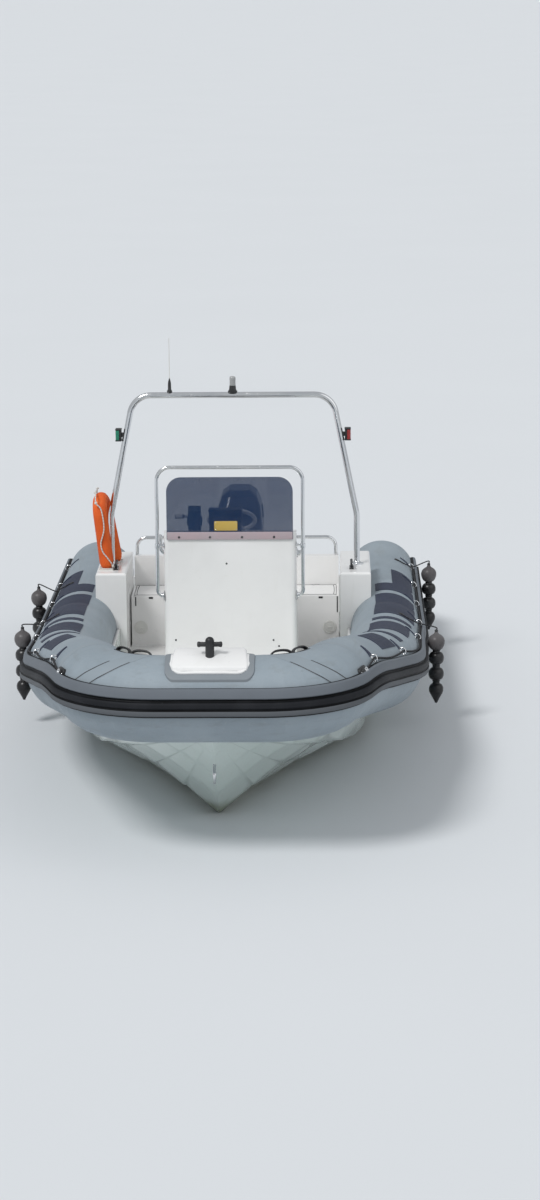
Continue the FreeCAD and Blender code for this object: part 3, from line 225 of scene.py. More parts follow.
def patch_rubber():
    """Wear patches: dark moulded rubber with a small diamond tread."""
    f = Finish("patch_rubber", roughness=0.6, specular_ior_level=0.4)
    cloud = f.noise(5.0, 5.0, 0.6)
    speck = f.noise(90.0, 3.0, 0.7)
    base = f.mix(cloud.rise(0.3, 0.7), (0.018, 0.025, 0.052), (0.028, 0.037, 0.070))
    base = f.mix(speck.rise(0.6, 0.8) * 0.3, base, (0.075, 0.085, 0.115))
    f.set("Base Color", base)
    f.set("Roughness", 0.5 + speck * 0.25)
    along = f.axis("Y")
    across = f.axis("X") + f.axis("Z")
    tread = ((along + across) * 420.0).sine() * ((along - across) * 420.0).sine()
    f.bump(tread.rise(0.0, 0.6) + speck * 0.4, 0.5, 0.002)
    return f.material


def gelcoat():
    """Glossy white gelcoat: faint waves, dust and rain marks."""
    tint, dirt = (0.87, 0.865, 0.855), 0.22
    f = Finish("gelcoat", coat_roughness=0.06, specular_ior_level=0.5)
    cloud = f.noise(1.6, 4.0, 0.55)
    dust = f.noise(26.0, 6.0, 0.7)
    rain = f.noise(16.0, 4.0, 0.6, f.place((1.0, 1.0, 0.12)))
    soft = tuple(0.93 * t for t in tint)
    soil = (tint[0] * 0.78, tint[1] * 0.765, tint[2] * 0.70)
    base = f.mix(cloud.rise(0.35, 0.65), tint, soft)
    base = f.mix(dust.rise(0.56, 0.78) * dirt, base, soil)
    base = f.mix(rain.rise(0.58, 0.75) * (dirt * 0.6), base, soil)
    f.set("Base Color", base)
    f.set("Roughness", 0.22 + dust * 0.16)
    f.set("Coat Weight", 0.5 - dust.rise(0.5, 0.8) * 0.3)
    f.bump(cloud * 6.0 + dust * 0.25, 0.12, 0.004)
    return f.material


def hull_gelcoat():
    """The hull: white deck and sole with non-slip, sides and bottom with a painted green reflection
    of the water, darker towards the bottom.
    """
    f = Finish("hull_gelcoat", specular_ior_level=0.5, coat_roughness=0.08)
    up = f.facing("Z").rise(0.6, 0.8)
    height = f.axis("Z")
    cloud = f.noise(1.4, 5.0, 0.6)
    dust = f.noise(24.0, 6.0, 0.7)
    drips = f.noise(11.0, 5.0, 0.6, f.place((1.0, 1.0, 0.15)))
    white = f.mix(cloud.rise(0.3, 0.7), (0.86, 0.855, 0.84), (0.82, 0.815, 0.80))
    # Faces that do not face up get a green tint: painted reflection of the water on the white
    # gelcoat
    side = f.mix(cloud.rise(0.3, 0.7), (0.66, 0.735, 0.705), (0.60, 0.685, 0.65))
    side = f.mix(drips.rise(0.5, 0.78) * 0.22, side, (0.46, 0.55, 0.49))
    # Darker and greener towards the bottom
    low_darkening = (1.0 - (height + drips * 0.09).rise(0.07, 0.17)) * 0.85
    side = f.mix(low_darkening, side, (0.20, 0.235, 0.13))
    base = f.mix(up, side, white)
    base = f.mix(dust.rise(0.55, 0.78) * 0.35, base, (0.50, 0.49, 0.44))
    f.set("Base Color", base)
    f.set("Roughness", 0.13 + dust * 0.10 + up * 0.3)
    f.set("Coat Weight", 0.5 - up * 0.4)
    grip = f.cells(150.0)
    f.bump(grip.rise(0.2, 0.6) * up * 0.8 + cloud * 5.0 * (1.0 - up) + dust * 0.2, 0.3, 0.003)
    return f.material


def stainless(name="stainless", shade=0.80):
    """Polished tube with faint drawing marks and salt bloom."""
    f = Finish(name, metallic=1.0, specular_ior_level=0.5)
    salt = f.noise(40.0, 5.0, 0.7)
    haze = f.noise(4.0, 3.0, 0.5)
    base = f.mix(haze.rise(0.3, 0.7), (shade, shade * 1.01, shade * 1.02),
                 (shade * 0.88, shade * 0.9, shade * 0.93))
    base = f.mix(salt.rise(0.6, 0.75) * 0.4, base, (0.5, 0.5, 0.48))
    f.set("Base Color", base)
    f.set("Roughness", 0.13 + salt.rise(0.5, 0.8) * 0.3)
    f.set("Metallic", 1.0 - salt.rise(0.62, 0.8) * 0.25)
    f.bump(salt, 0.06, 0.001)
    return f.material


def smoked_acrylic():
    """Tinted screen, see-through, with specks of dust all over it."""
    f = Finish("smoked_acrylic", specular_ior_level=0.6, IOR=1.49)
    cloud = f.noise(3.0, 4.0, 0.6)
    speck = f.noise(110.0, 3.0, 0.7)
    base = f.mix(cloud.rise(0.3, 0.7), (0.006, 0.029, 0.094), (0.010, 0.038, 0.112))
    base = f.mix(speck.rise(0.66, 0.82) * 0.2, base, (0.16, 0.20, 0.26))
    f.set("Base Color", base)
    f.set("Roughness", 0.04 + speck.rise(0.5, 0.8) * 0.2)
    f.set("Alpha", 0.61 + cloud * 0.06 + speck.rise(0.62, 0.8) * 0.06)
    return f.material


def moulded(name, colour, roughness=0.4, grain=0.35, fade=0.25):
    """Moulded plastic: fine grain, a little chalking, dust."""
    f = Finish(name, specular_ior_level=0.45)
    cloud = f.noise(7.0, 4.0, 0.6)
    speck = f.noise(150.0, 3.0, 0.7)
    lighter = tuple(c + (0.45 - c) * fade * 0.4 if c < 0.45 else c * (1 - fade * 0.25)
                    for c in colour)
    base = f.mix(cloud.rise(0.35, 0.7), colour, lighter)
    base = f.mix(speck.rise(0.6, 0.8) * fade, base, tuple(0.5 * c + 0.12 for c in colour))
    f.set("Base Color", base)
    f.set("Roughness", roughness + speck * 0.18)
    f.bump(speck + cloud * 0.5, grain, 0.0008)
    return f.material


def lens(name, colour):
    f = Finish(name, specular_ior_level=0.7, transmission_weight=0.35)
    ribs = (f.axis("Z") * 900.0).sine()
    cloud = f.noise(30.0, 3.0, 0.6)
    f.set("Base Color", f.mix(cloud.rise(0.3, 0.7), colour, tuple(0.7 * c for c in colour)))
    f.set("Roughness", 0.12 + cloud * 0.1)
    f.bump(ribs, 0.3, 0.001)
    return f.material


def engine_paint():
    """Dark metallic paint of the engine under a clear coat."""
    f = Finish("engine_paint", coat_roughness=0.05, specular_ior_level=0.5)
    flake = f.noise(900.0, 2.0, 0.6)
    cloud = f.noise(3.0, 4.0, 0.6)
    salt = f.noise(32.0, 5.0, 0.7)
    base = f.mix(cloud.rise(0.3, 0.7), (0.018, 0.024, 0.040), (0.026, 0.034, 0.055))
    base = f.mix(flake.rise(0.58, 0.7) * 0.35, base, (0.10, 0.12, 0.16))
    base = f.mix(salt.rise(0.62, 0.8) * 0.3, base, (0.22, 0.23, 0.23))
    f.set("Base Color", base)
    f.set("Roughness", 0.28 + salt * 0.2)
    f.set("Metallic", 0.25 + flake * 0.2)
    f.set("Coat Weight", 0.7 - salt.rise(0.55, 0.8) * 0.4)
    f.bump(cloud * 3.0 + salt * 0.2, 0.1, 0.003)
    return f.material


def buoy_cover():
    """Woven orange cover of the horseshoe buoy, with a painted highlight on the crests of its
    wrinkles.
    """
    f = Finish("buoy_cover", specular_ior_level=0.25)
    cloud = f.noise(9.0, 4.0, 0.6)
    wrinkle_and_highlight = f.noise(14.0, 3.0, 0.5, f.place((1.0, 1.0, 0.45)))
    base = f.mix(cloud.rise(0.3, 0.7), (0.84, 0.150, 0.026), (0.74, 0.110, 0.020))
    # Lighter orange on the wrinkle crests: painted highlight
    base = f.mix(wrinkle_and_highlight.rise(0.58, 0.75) * 0.5, base, (0.86, 0.22, 0.06))
    f.set("Base Color", base)
    f.set("Roughness", 0.6 + cloud * 0.15)
    threads = (f.axis("Z") * 2600.0).sine() * ((f.axis("Y") + f.axis("X")) * 2600.0).sine()
    f.bump(wrinkle_and_highlight * 5.0 + threads * 0.4, 0.35, 0.003)
    return f.material


def rope(name, dark, light, lay=0.028):
    """Laid rope: twisted strands along the piece's own map, with painted shade in the grooves
    between them.
    """
    f = Finish(name, specular_ior_level=0.2)
    along, across = f.along("X"), f.along("Y")
    twist = ((along / lay) + across * 3.0).fraction()
    strand = ((twist - 0.5).size() * 2.0).power(2.0)
    fuzz = f.noise(700.0, 3.0, 0.7)
    # The dark colour fills the grooves between strands as painted shade; the light colour is the
    # rope's own
    base = f.mix(strand * 0.7 + fuzz * 0.3, light, dark)
    f.set("Base Color", base)
    f.set("Roughness", 0.75 + fuzz * 0.15)
    f.bump((1.0 - strand) + fuzz * 0.3, 0.8, 0.0025)
    return f.material


# The part's own sizes for tube and strake, in metres
TUBE_RADIUS = 0.245
STRAKE_DEPTH, STRAKE_HALF = 0.040, 0.082

# Section of the rubbing strake: share of the half height, share of the depth, band
STRAKE_SHARES = (
    (1.00, 0.20, "top"), (0.97, 0.42, "top"), (0.90, 0.57, "top"), (0.80, 0.63, "top"),
    (0.55, 0.665, "top"), (0.33, 0.66, "top"), (0.27, 0.58, "groove"), (0.22, 0.40, "groove"),
    (0.15, 0.37, "groove"), (0.09, 0.44, "groove"), (0.06, 0.72, "bead"), (0.03, 0.92, "bead"),
    (-0.03, 0.99, "bead"), (-0.17, 1.00, "bead"), (-0.31, 0.99, "bead"), (-0.37, 0.90, "bead"),
    (-0.40, 0.74, "slot"), (-0.46, 0.70, "slot"), (-0.51, 0.74, "slot"), (-0.54, 0.88, "low"),
    (-0.60, 0.925, "low"), (-0.72, 0.92, "low"), (-0.82, 0.87, "low"), (-0.89, 0.72, "edge"),
    (-0.95, 0.45, "edge"), (-1.00, 0.20, "edge"),
)
STRAKE_SECTION = [(TUBE_RADIUS + STRAKE_DEPTH * out, STRAKE_HALF * up)
                  for up, out, _ in STRAKE_SHARES]
BAND_EDGE = 0.0016


def strake_mark(band):
    """Where a band starts, as the distance round the strake's section."""
    walked = 0.0
    for i, (_, _, name) in enumerate(STRAKE_SHARES):
        if name == band:
            return walked
        a, b = STRAKE_SECTION[i], STRAKE_SECTION[i + 1]
        walked += math.hypot(b[0] - a[0], b[1] - a[1])
    return walked


def strake_finish():
    """Extruded rubber in bands: grey upper band, dark and grey beads, and near-black painted shade
    in the grooves, the slot and on the lower edge.
    """
    f = Finish("strake_rubber", specular_ior_level=0.16)
    across = f.along("Y")
    cloud = f.noise(4.0, 5.0, 0.6)
    scuff = f.noise(30.0, 5.0, 0.7, f.place((1.0, 0.4, 2.0)))
    speck = f.noise(140.0, 3.0, 0.7)

    def past(band):
        return across.rise(strake_mark(band) - BAND_EDGE, strake_mark(band) + BAND_EDGE)

    bead = past("bead") * (1.0 - past("slot"))
    # Near black outside the beads: painted shade in the groove, the slot and on the underside of
    # the lower edge
    base = f.mix(bead, (0.0035, 0.004, 0.005), (0.0125, 0.0135, 0.0165))
    base = f.mix(past("low") * (1.0 - past("edge")), base, (0.100, 0.108, 0.118))
    base = f.mix(1.0 - past("groove"), base, (0.150, 0.168, 0.190))
    base = f.mix(cloud.rise(0.4, 0.75) * 0.14, base, (0.085, 0.09, 0.10))
    base = f.mix(scuff.rise(0.64, 0.80) * 0.14, base, (0.22, 0.23, 0.235))
    f.set("Base Color", base)
    f.set("Roughness", 0.45 + speck * 0.2 + scuff * 0.1)
    f.bump(speck * 0.5 + scuff, 0.2, 0.0012)
    return f.material


def display_glass():
    f = Finish("display_glass", specular_ior_level=0.7, coat_roughness=0.03)
    cloud = f.noise(12.0, 3.0, 0.5)
    f.set("Base Color", f.mix(cloud, (0.008, 0.010, 0.014), (0.016, 0.020, 0.026)))
    f.set("Roughness", 0.05 + cloud * 0.08)
    f.set("Coat Weight", 0.8 - cloud * 0.2)
    return f.material


def dial_face():
    """Dial faces: plain off-white, no ticks and no lettering."""
    f = Finish("dial_face", specular_ior_level=0.5)
    cloud = f.noise(60.0, 3.0, 0.5)
    f.set("Base Color", f.mix(cloud, (0.62, 0.62, 0.58), (0.70, 0.70, 0.66)))
    f.set("Roughness", 0.3 + cloud * 0.1)
    return f.material


def clear_lens():
    f = Finish("clear_lens", specular_ior_level=0.7, transmission_weight=0.5, IOR=1.45)
    cloud = f.noise(20.0, 3.0, 0.5)
    f.set("Base Color", f.mix(cloud, (0.66, 0.68, 0.68), (0.78, 0.79, 0.78)))
    f.set("Roughness", 0.12 + cloud * 0.12)
    return f.material


finishes = {
    "collar": collar_fabric(),
    "tape": moulded("seam_tape", (0.270, 0.315, 0.350), 0.48, 0.3, 0.1),
    "patch": patch_rubber(),
    "strake": strake_finish(),
    "bow_pad": moulded("bow_pad_rubber", (0.215, 0.240, 0.262), 0.5, 0.4, 0.2),
    "gelcoat": gelcoat(),
    "hull": hull_gelcoat(),
    "stainless": stainless(),
    "chrome": stainless("chrome", 0.84),
    "silver": moulded("silver_knob", (0.62, 0.63, 0.64), 0.3, 0.1, 0.1),
    "screen": smoked_acrylic(),
    "strip": moulded("screen_strip_plastic", (0.470, 0.370, 0.395), 0.4, 0.2, 0.2),
    "trim": moulded("dark_trim", (0.035, 0.037, 0.041), 0.45),
    "black": moulded("black_plastic", (0.012, 0.0125, 0.014), 0.36, 0.3, 0.16),
    "gold": moulded("gold_plate", (0.560, 0.385, 0.090), 0.32, 0.15, 0.1),
    "glass_black": display_glass(),
    "dial": dial_face(),
    "dark_rubber": moulded("dark_rubber", (0.014, 0.015, 0.018), 0.34, 0.2, 0.16),
    "fender": moulded("fender_rubber", (0.0085, 0.0080, 0.0090), 0.22, 0.12, 0.12),
    # Lighter grey for the top balls: painted highlight on the same black rubber
    "fender_highlit": moulded("fender_painted_highlight", (0.075, 0.068, 0.070), 0.34, 0.2, 0.3),
    "wheel": moulded("wheel_rim", (0.760, 0.765, 0.775), 0.38, 0.3, 0.15),
    "white": moulded("white_plastic", (0.74, 0.74, 0.71), 0.35, 0.15),
    "tape_white": moulded("white_webbing", (0.70, 0.69, 0.65), 0.7, 0.6, 0.2),
    "clear": clear_lens(),
    "red": lens("red_lens", (0.55, 0.02, 0.02)),
    "green": lens("green_lens", (0.01, 0.34, 0.20)),
    "engine": engine_paint(),
    "buoy": buoy_cover(),
    "black_rope": rope("black_rope", (0.010, 0.010, 0.012), (0.055, 0.056, 0.060)),
    "white_rope": rope("white_rope", (0.40, 0.39, 0.36), (0.78, 0.77, 0.73), 0.02),
}

NODE_FINISH = {
    "tube_bow": "collar", "tube_port": "collar", "tube_starboard": "collar",
    "rubbing_strake": "dark_rubber", "wear_patches": "patch", "hull_shell": "hull",
    "transom_board": "gelcoat", "bow_step": "gelcoat", "console_shell": "gelcoat",
    "stern_seat": "gelcoat", "seat_back": "gelcoat", "seat_lid_port": "gelcoat",
    "seat_lid_starboard": "gelcoat", "side_pods": "gelcoat",
    "bow_pad": "bow_pad", "samson_post": "black", "bow_eye": "stainless", "tow_eyes": "stainless",
    "windscreen": "screen", "windscreen_hoop": "stainless", "console_rails": "stainless",
    "stern_rail": "stainless", "a_frame": "stainless", "instrument_box": "black",
    "engine_control": "black", "helm_column": "black", "steering_wheel": "wheel",
    "inspection_plates": "white", "stern_cleats": "black", "nav_light_port": "red",
    "nav_light_starboard": "green", "masthead_light": "black", "antenna": "black",
    "lifebuoy": "buoy", "lifebuoy_bracket": "white", "lifeline": "black_rope",
    "lifeline_fittings": "black", "fenders": "dark_rubber", "fender_cords": "black_rope",
    "grab_handles": "black", "engine_clamp": "black", "engine_swivel": "engine",
    "engine_cowl": "engine", "engine_leg": "engine", "propeller": "stainless",
}


def coat(piece, finish):
    """Gives a piece or a node its finish on every slot."""
    slots = piece.data.materials
    if not len(slots):
        slots.append(finishes[finish])
    for i in range(len(slots)):
        slots[i] = finishes[finish]


for name, finish in NODE_FINISH.items():
    coat(nodes[name], finish)


# Shapes
IDENTITY = Matrix.Identity(4)
UP = Vector((0, 0, 1))


def circle(radius, count, start=0.0):
    """Corners of a regular outline round the origin."""
    turns = [start + math.tau * i / count for i in range(count)]
    return [(radius * math.cos(a), radius * math.sin(a)) for a in turns]


def headings(line):
    """The way that a line runs at each of its points."""
    last = len(line) - 1
    return [(line[min(i + 1, last)] - line[max(i - 1, 0)]).normalized() for i in range(last + 1)]


def subdivided(points, pitch):
    """The same line with further points about a pitch apart."""
    dense = []
    for a, b in zip(points, points[1:]):
        count = max(1, round((b - a).length / pitch))
        dense += [a.lerp(b, i / count) for i in range(count)]
    return dense + points[-1:]


def box_of(name):
    low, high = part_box(name)
    return Vector(low), Vector(high)


def facing_frame(at, axis, hint=(0, 0, 1)):
    """A frame at a point with its Z along an axis and its X square to the hint."""
    z = Vector(axis).normalized()
    x = Vector(hint).cross(z)
    x = Vector((1, 0, 0)) if x.length < 1e-6 else x.normalized()
    turn = Matrix((x, z.cross(x), z)).transposed().to_4x4()
    return Matrix.Translation(at) @ turn


class Form:
    """Geometry of one piece, made from blocks, turned shapes, plates and swept tubes."""

    def __init__(self):
        self.bm = bmesh.new()
        self.uv = self.bm.loops.layers.uv.new("UVMap")

    def add(self, other, frame=IDENTITY):
        mesh = bpy.data.meshes.new("part")
        bmesh.ops.recalc_face_normals(other, faces=other.faces)
        other.to_mesh(mesh)
        other.free()
        mesh.transform(frame)
        self.bm.from_mesh(mesh)
        bpy.data.meshes.remove(mesh)
        return self

    def block(self, low, high, edge=0.002, steps=2, frame=IDENTITY):
        low, high = Vector(low), Vector(high)
        part = bmesh.new()
        bmesh.ops.create_cube(part, size=1.0)
        for v in part.verts:
            v.co = Vector([(a + b) / 2 + c * (b - a) for a, b, c in zip(low, high, v.co)])
        bmesh.ops.bevel(part, geom=part.edges[:], offset=edge, segments=steps,
                        affect="EDGES", profile=0.5)
        return self.add(part, frame)

    def turned(self, profile, frame=IDENTITY, sides=20):
        """Turns a profile of radii and heights round the frame's Z."""
        part = bmesh.new()
        rings = []
        for radius, height in profile:
            if radius < 1e-6:
                rings.append([part.verts.new((0, 0, height))])
                continue
            rings.append([part.verts.new((x, y, height)) for x, y in circle(radius, sides)])
        for lower, upper in zip(rings, rings[1:]):
            for i in range(sides):
                j = (i + 1) % sides
                loop = [lower[i % len(lower)], lower[j % len(lower)], upper[j % len(upper)],
                        upper[i % len(upper)]]
                loop = list(dict.fromkeys(loop))
                if len(loop) > 2:
                    part.faces.new(loop)
        for ring in (rings[0], rings[-1]):
            if len(ring) > 1:
                part.faces.new(ring)
        return self.add(part, frame)

    def plate(self, outline, thickness, edge=0.0015, frame=IDENTITY, steps=2):
        """A flat plate from an outline in the frame's XY, rising along its Z."""
        part = bmesh.new()
        base = part.faces.new([part.verts.new((x, y, 0)) for x, y in outline])
        raised = bmesh.ops.extrude_face_region(part, geom=[base])
        for v in raised["geom"]:
            if isinstance(v, bmesh.types.BMVert):
                v.co.z += thickness
        rims = [e for e in part.edges
                if min(v.co.z for v in e.verts) > thickness / 2]
        if edge:
            bmesh.ops.bevel(part, geom=rims, offset=edge, segments=steps, affect="EDGES",
                            profile=0.5)
        return self.add(part, frame)

    def swept(self, path, section, up=None, closed=False):
        """Sweeps a closed section of (out, up) points along a path, with its own map."""
        count = len(path)
        tangents = []
        for i in range(count):
            a = path[(i - 1) % count] if closed or i > 0 else path[0]
            b = path[(i + 1) % count] if closed or i < count - 1 else path[-1]
            tangents.append((b - a).normalized())
        side = up[0] if up else Vector((0, 0, 1)).cross(tangents[0])
        if side.length < 1e-6:
            side = Vector((1, 0, 0))
        side = side.normalized()
        rims = [math.hypot(b[0] - a[0], b[1] - a[1])
                for a, b in zip(section, section[1:] + section[:1])]
        around = [sum(rims[:i]) for i in range(len(rims) + 1)]
        rows, travelled = [], [0.0]
        for i, centre in enumerate(path):
            if up:
                side = up[i]
            side = (side - tangents[i] * side.dot(tangents[i])).normalized()
            rise = tangents[i].cross(side) * -1
            rows.append([self.bm.verts.new(centre + side * x + rise * y) for x, y in section])
            if i:
                travelled.append(travelled[-1] + (centre - path[i - 1]).length)
        if closed:
            travelled.append(travelled[-1] + (path[0] - path[-1]).length)
            rows.append(rows[0])
        n = len(section)
        made = []
        for k in range(len(rows) - 1):
            for i in range(n):
                j = (i + 1) % n
                face = self.bm.faces.new([rows[k][i], rows[k][j], rows[k + 1][j], rows[k + 1][i]])
                spots = [(travelled[k], around[i]), (travelled[k], around[i + 1]),
                         (travelled[k + 1], around[i + 1]), (travelled[k + 1], around[i])]
                for loop, spot in zip(face.loops, spots):
                    loop[self.uv].uv = spot
                made.append(face)
        if not closed:
            made.append(self.bm.faces.new(list(reversed(rows[0]))))
            made.append(self.bm.faces.new(rows[-1]))
        bmesh.ops.recalc_face_normals(self.bm, faces=made)
        return self

    def tube(self, path, radius, sides=10, closed=False):
        return self.swept([Vector(p) for p in path], circle(radius, sides), closed=closed)

    def ring_of(self, points):
        return [self.bm.verts.new(p) for p in points]

    def bridge(self, rows):
        """Faces between each ring of corners and the next one."""
        made = []
        for low, high in zip(rows, rows[1:]):
            for i in range(len(low)):
                j = (i + 1) % len(low)
                made.append(self.bm.faces.new([low[i], low[j], high[j], high[i]]))
        return made

    def piece(self, name, finish, body="boat", sharp=35, replaces=()):
        """Finishes the form as a piece that rides on a body."""
        mesh = bpy.data.meshes.new(name)
        self.bm.to_mesh(mesh)
        self.bm.free()
        return finished(name, mesh, finish, body, sharp, replaces)


def finished(name, mesh, finish, body, sharp, replaces=()):
    for face in mesh.polygons:
        face.use_smooth = True
    mesh.set_sharp_from_angle(angle=math.radians(sharp))
    mesh.materials.clear()
    mesh.materials.append(finishes[finish])
    piece = bpy.data.objects.new(name, mesh)
    scene.collection.objects.link(piece)
    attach(piece, body)
    if replaces:
        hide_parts(*replaces)
    return piece


def smooth_path(points, steps=8, closed=False):
    """A smooth line through points."""
    points = [Vector(p) for p in points]
    count = len(points)
    line = []
    for i in range(count if closed else count - 1):
        if closed:
            a, b, c, d = (points[(i + k) % count] for k in (-1, 0, 1, 2))
        else:
            b, c = points[i], points[i + 1]
            a = points[i - 1] if i else b * 2 - c
            d = points[i + 2] if i + 2 < count else c * 2 - b
        for k in range(steps):
            t = k / steps
            line.append(0.5 * (b * 2 + (c - a) * t + (a * 2 - b * 5 + c * 4 - d) * t * t
                               + (b * 3 - a - c * 3 + d) * t ** 3))
    if not closed:
        line.append(points[-1])
    return line


def rounded_outline(width, height, corner, steps=4):
    """Outline of a rectangle with round corners, centred."""
    spots = []
    for cx, cy, start in ((1, 1, 0), (-1, 1, 90), (-1, -1, 180), (1, -1, 270)):
        for k in range(steps + 1):
            a = math.radians(start + 90 * k / steps)
            spots.append((cx * (width / 2 - corner) + corner * math.cos(a),
                          cy * (height / 2 - corner) + corner * math.sin(a)))
    return spots


# Screws, by Geometry Nodes: a head on every point, turned to the point's own facing
def screw_tree():
    tree = bpy.data.node_groups.new("screw_heads", "GeometryNodeTree")
    for name, kind in (("Geometry", "Geometry"), ("Head Radius", "Float"),
                       ("Head Height", "Float"), ("Finish", "Material")):
        tree.interface.new_socket(name, in_out="INPUT", socket_type="NodeSocket" + kind)
    tree.interface.new_socket("Geometry", in_out="OUTPUT", socket_type="NodeSocketGeometry")
    add, link = tree.nodes.new, tree.links.new
    entry, leave = add("NodeGroupInput"), add("NodeGroupOutput")
    head = add("GeometryNodeMeshUVSphere")
    head.inputs["Segments"].default_value = 12
    head.inputs["Rings"].default_value = 6
    head.inputs["Radius"].default_value = 1.0
    scale = add("ShaderNodeCombineXYZ")
    link(entry.outputs["Head Radius"], scale.inputs[0])
    link(entry.outputs["Head Radius"], scale.inputs[1])
    link(entry.outputs["Head Height"], scale.inputs[2])
    facing = add("GeometryNodeInputNamedAttribute")
    facing.data_type = "FLOAT_VECTOR"
    facing.inputs["Name"].default_value = "facing"
    turn = add("FunctionNodeAlignRotationToVector")
    turn.axis = "Z"
    link(facing.outputs["Attribute"], turn.inputs["Vector"])
    place = add("GeometryNodeInstanceOnPoints")
    link(entry.outputs["Geometry"], place.inputs["Points"])
    link(head.outputs["Mesh"], place.inputs["Instance"])
    link(turn.outputs["Rotation"], place.inputs["Rotation"])
    link(scale.outputs["Vector"], place.inputs["Scale"])
    real = add("GeometryNodeRealizeInstances")
    coat_node = add("GeometryNodeSetMaterial")
    link(place.outputs["Instances"], real.inputs["Geometry"])
    link(real.outputs["Geometry"], coat_node.inputs["Geometry"])
    link(entry.outputs["Finish"], coat_node.inputs["Material"])
    link(coat_node.outputs["Geometry"], leave.inputs["Geometry"])
    return tree


SCREWS = screw_tree()


def from_tree(name, tree, carrier, inputs, finish, body, sharp=60):
    """Runs a node tree on a carrier mesh and keeps the result as a plain piece."""
    holder = bpy.data.objects.new(name + "_points", carrier)
    scene.collection.objects.link(holder)
    modifier = holder.modifiers.new("build", "NODES")
    modifier.node_group = tree
    for item in tree.interface.items_tree:
        if item.in_out == "INPUT" and item.name in inputs:
            modifier[item.identifier] = inputs[item.name]
    bpy.context.view_layer.update()
    seen = holder.evaluated_get(bpy.context.evaluated_depsgraph_get())
    mesh = bpy.data.meshes.new_from_object(seen)
    mesh.name = name
    holder.modifiers.remove(modifier)
    bpy.data.objects.remove(holder)
    return finished(name, mesh, finish, body, sharp)


def screws(name, spots, radius=0.006, height=0.0035, finish="chrome", body="boat"):
    """Screw heads at spots of (point, facing)."""
    carrier = bpy.data.meshes.new(name + "_points")
    carrier.from_pydata([tuple(p) for p, _ in spots], [], [])
    facing = carrier.attributes.new("facing", "FLOAT_VECTOR", "POINT")
    for item, (_, direction) in zip(facing.data, spots):
        item.vector = Vector(direction).normalized()
    inputs = {"Head Radius": radius, "Head Height": height, "Finish": finishes[finish]}
    return from_tree(name, SCREWS, carrier, inputs, finish, body)


# Collar: its axis on the port side, from the part's driving sizes, in metres
HALF_LENGTH = 3.300
COLLAR_HALF = 1.060
BOW_HEIGHT, STERN_HEIGHT = 0.950, 0.455
BOW_FLAT, CORNER_RADIUS, CORNER_TURN = 0.300, 0.365, math.radians(74)
CORNER_END = BOW_FLAT + CORNER_RADIUS * CORNER_TURN
STRAIGHT_START, CONE_START = 4.600, 6.250
# How fast the part's curve runs into its straight stretch, in metres for a metre of chord
STERN_RATE = 3.75
# Aft of the bow, inset from the half-breadth, share of the rise from stern to bow
COLLAR_TURNS = ((0.741, 0.355, 0.978), (1.060, 0.289, 0.859), (1.460, 0.209, 0.707),
                (2.035, 0.095, 0.485), (3.000, 0.033, 0.202), (3.800, 0.008, 0.065))
# Distances from the stem at which the axis is taken, close together where it bends
STATIONS = (0, 0.300, 0.355, 0.410, 0.465, 0.520, 0.575, 0.630, 0.685, 0.738, 0.800, 0.900,
            1.000, 1.150, 1.300, 1.500, 1.750, 2.000, 2.300, 2.700, 3.100, 3.600, 4.200, 4.800,
            5.400)


def cubic(start, lead, end, trail, t):
    """A point between two points with their rates of change."""
    return (start * (2 * t ** 3 - 3 * t * t + 1) + lead * (t ** 3 - 2 * t * t + t)
            + end * (3 * t * t - 2 * t ** 3) + trail * (t ** 3 - t * t))


def bow_spot(run):
    """Axis across the bow and round its corner."""
    turn = max(0.0, run - BOW_FLAT) / CORNER_RADIUS
    front = STRAKE_DEPTH + TUBE_RADIUS - HALF_LENGTH
    return Vector((min(run, BOW_FLAT) + CORNER_RADIUS * math.sin(turn),
                   front + CORNER_RADIUS * (1 - math.cos(turn)), BOW_HEIGHT))


def side_line():
    """Axis aft of the corner: a smooth curve through the collar's turns, in small steps."""
    rise = BOW_HEIGHT - STERN_HEIGHT
    turns = (*COLLAR_TURNS, (STRAIGHT_START, 0, 0))
    spots = [bow_spot(CORNER_END)] + [
        Vector((COLLAR_HALF - inset, aft - HALF_LENGTH, STERN_HEIGHT + rise * share))
        for aft, inset, share in turns]
    spans = [(b - a).length for a, b in zip(spots, spots[1:])]
    rates = [Vector((math.cos(CORNER_TURN), math.sin(CORNER_TURN), 0))]
    rates += [(b - a).normalized() for a, b in zip(spots[1:], spots[2:])]
    rates.append(Vector((0, STERN_RATE, 0)))
    # The bend has to be the same on both sides of each turn: found by repeated averaging
    for _ in range(60):
        for i in range(1, len(spots) - 1):
            a, b = spans[i - 1], spans[i]
            pull = (spots[i] - spots[i - 1]) * (b / a) + (spots[i + 1] - spots[i]) * (a / b)
            rates[i] = (pull * 3 - rates[i - 1] * b - rates[i + 1] * a) / (2 * (a + b))
    line = []
    for i, span in enumerate(spans):
        line += [cubic(spots[i], rates[i] * span, spots[i + 1], rates[i + 1] * span, k / 200)
                 for k in range(200)]
    return line + spots[-1:]


def collar_stations():
    """Runs and points of the axis at the stations and at the start of the cone."""
    line = side_line()
    walked = [CORNER_END]
    for a, b in zip(line, line[1:]):
        walked.append(walked[-1] + (b - a).length)
    rows = []
    for run in (*STATIONS, walked[-1] + CONE_START - STRAIGHT_START):
        if run <= CORNER_END:
            rows.append((run, bow_spot(run)))
        elif run >= walked[-1]:
            rows.append((run, line[-1] + Vector((0, run - walked[-1], 0))))
        else:
            k = max(i for i in range(len(line) - 1) if walked[i] <= run)
            share = (run - walked[k]) / (walked[k + 1] - walked[k])
            rows.append((run, line[k].lerp(line[k + 1], share)))
    return rows


COLLAR_AXIS = collar_stations()
COLLAR_END = COLLAR_AXIS[-1][0]


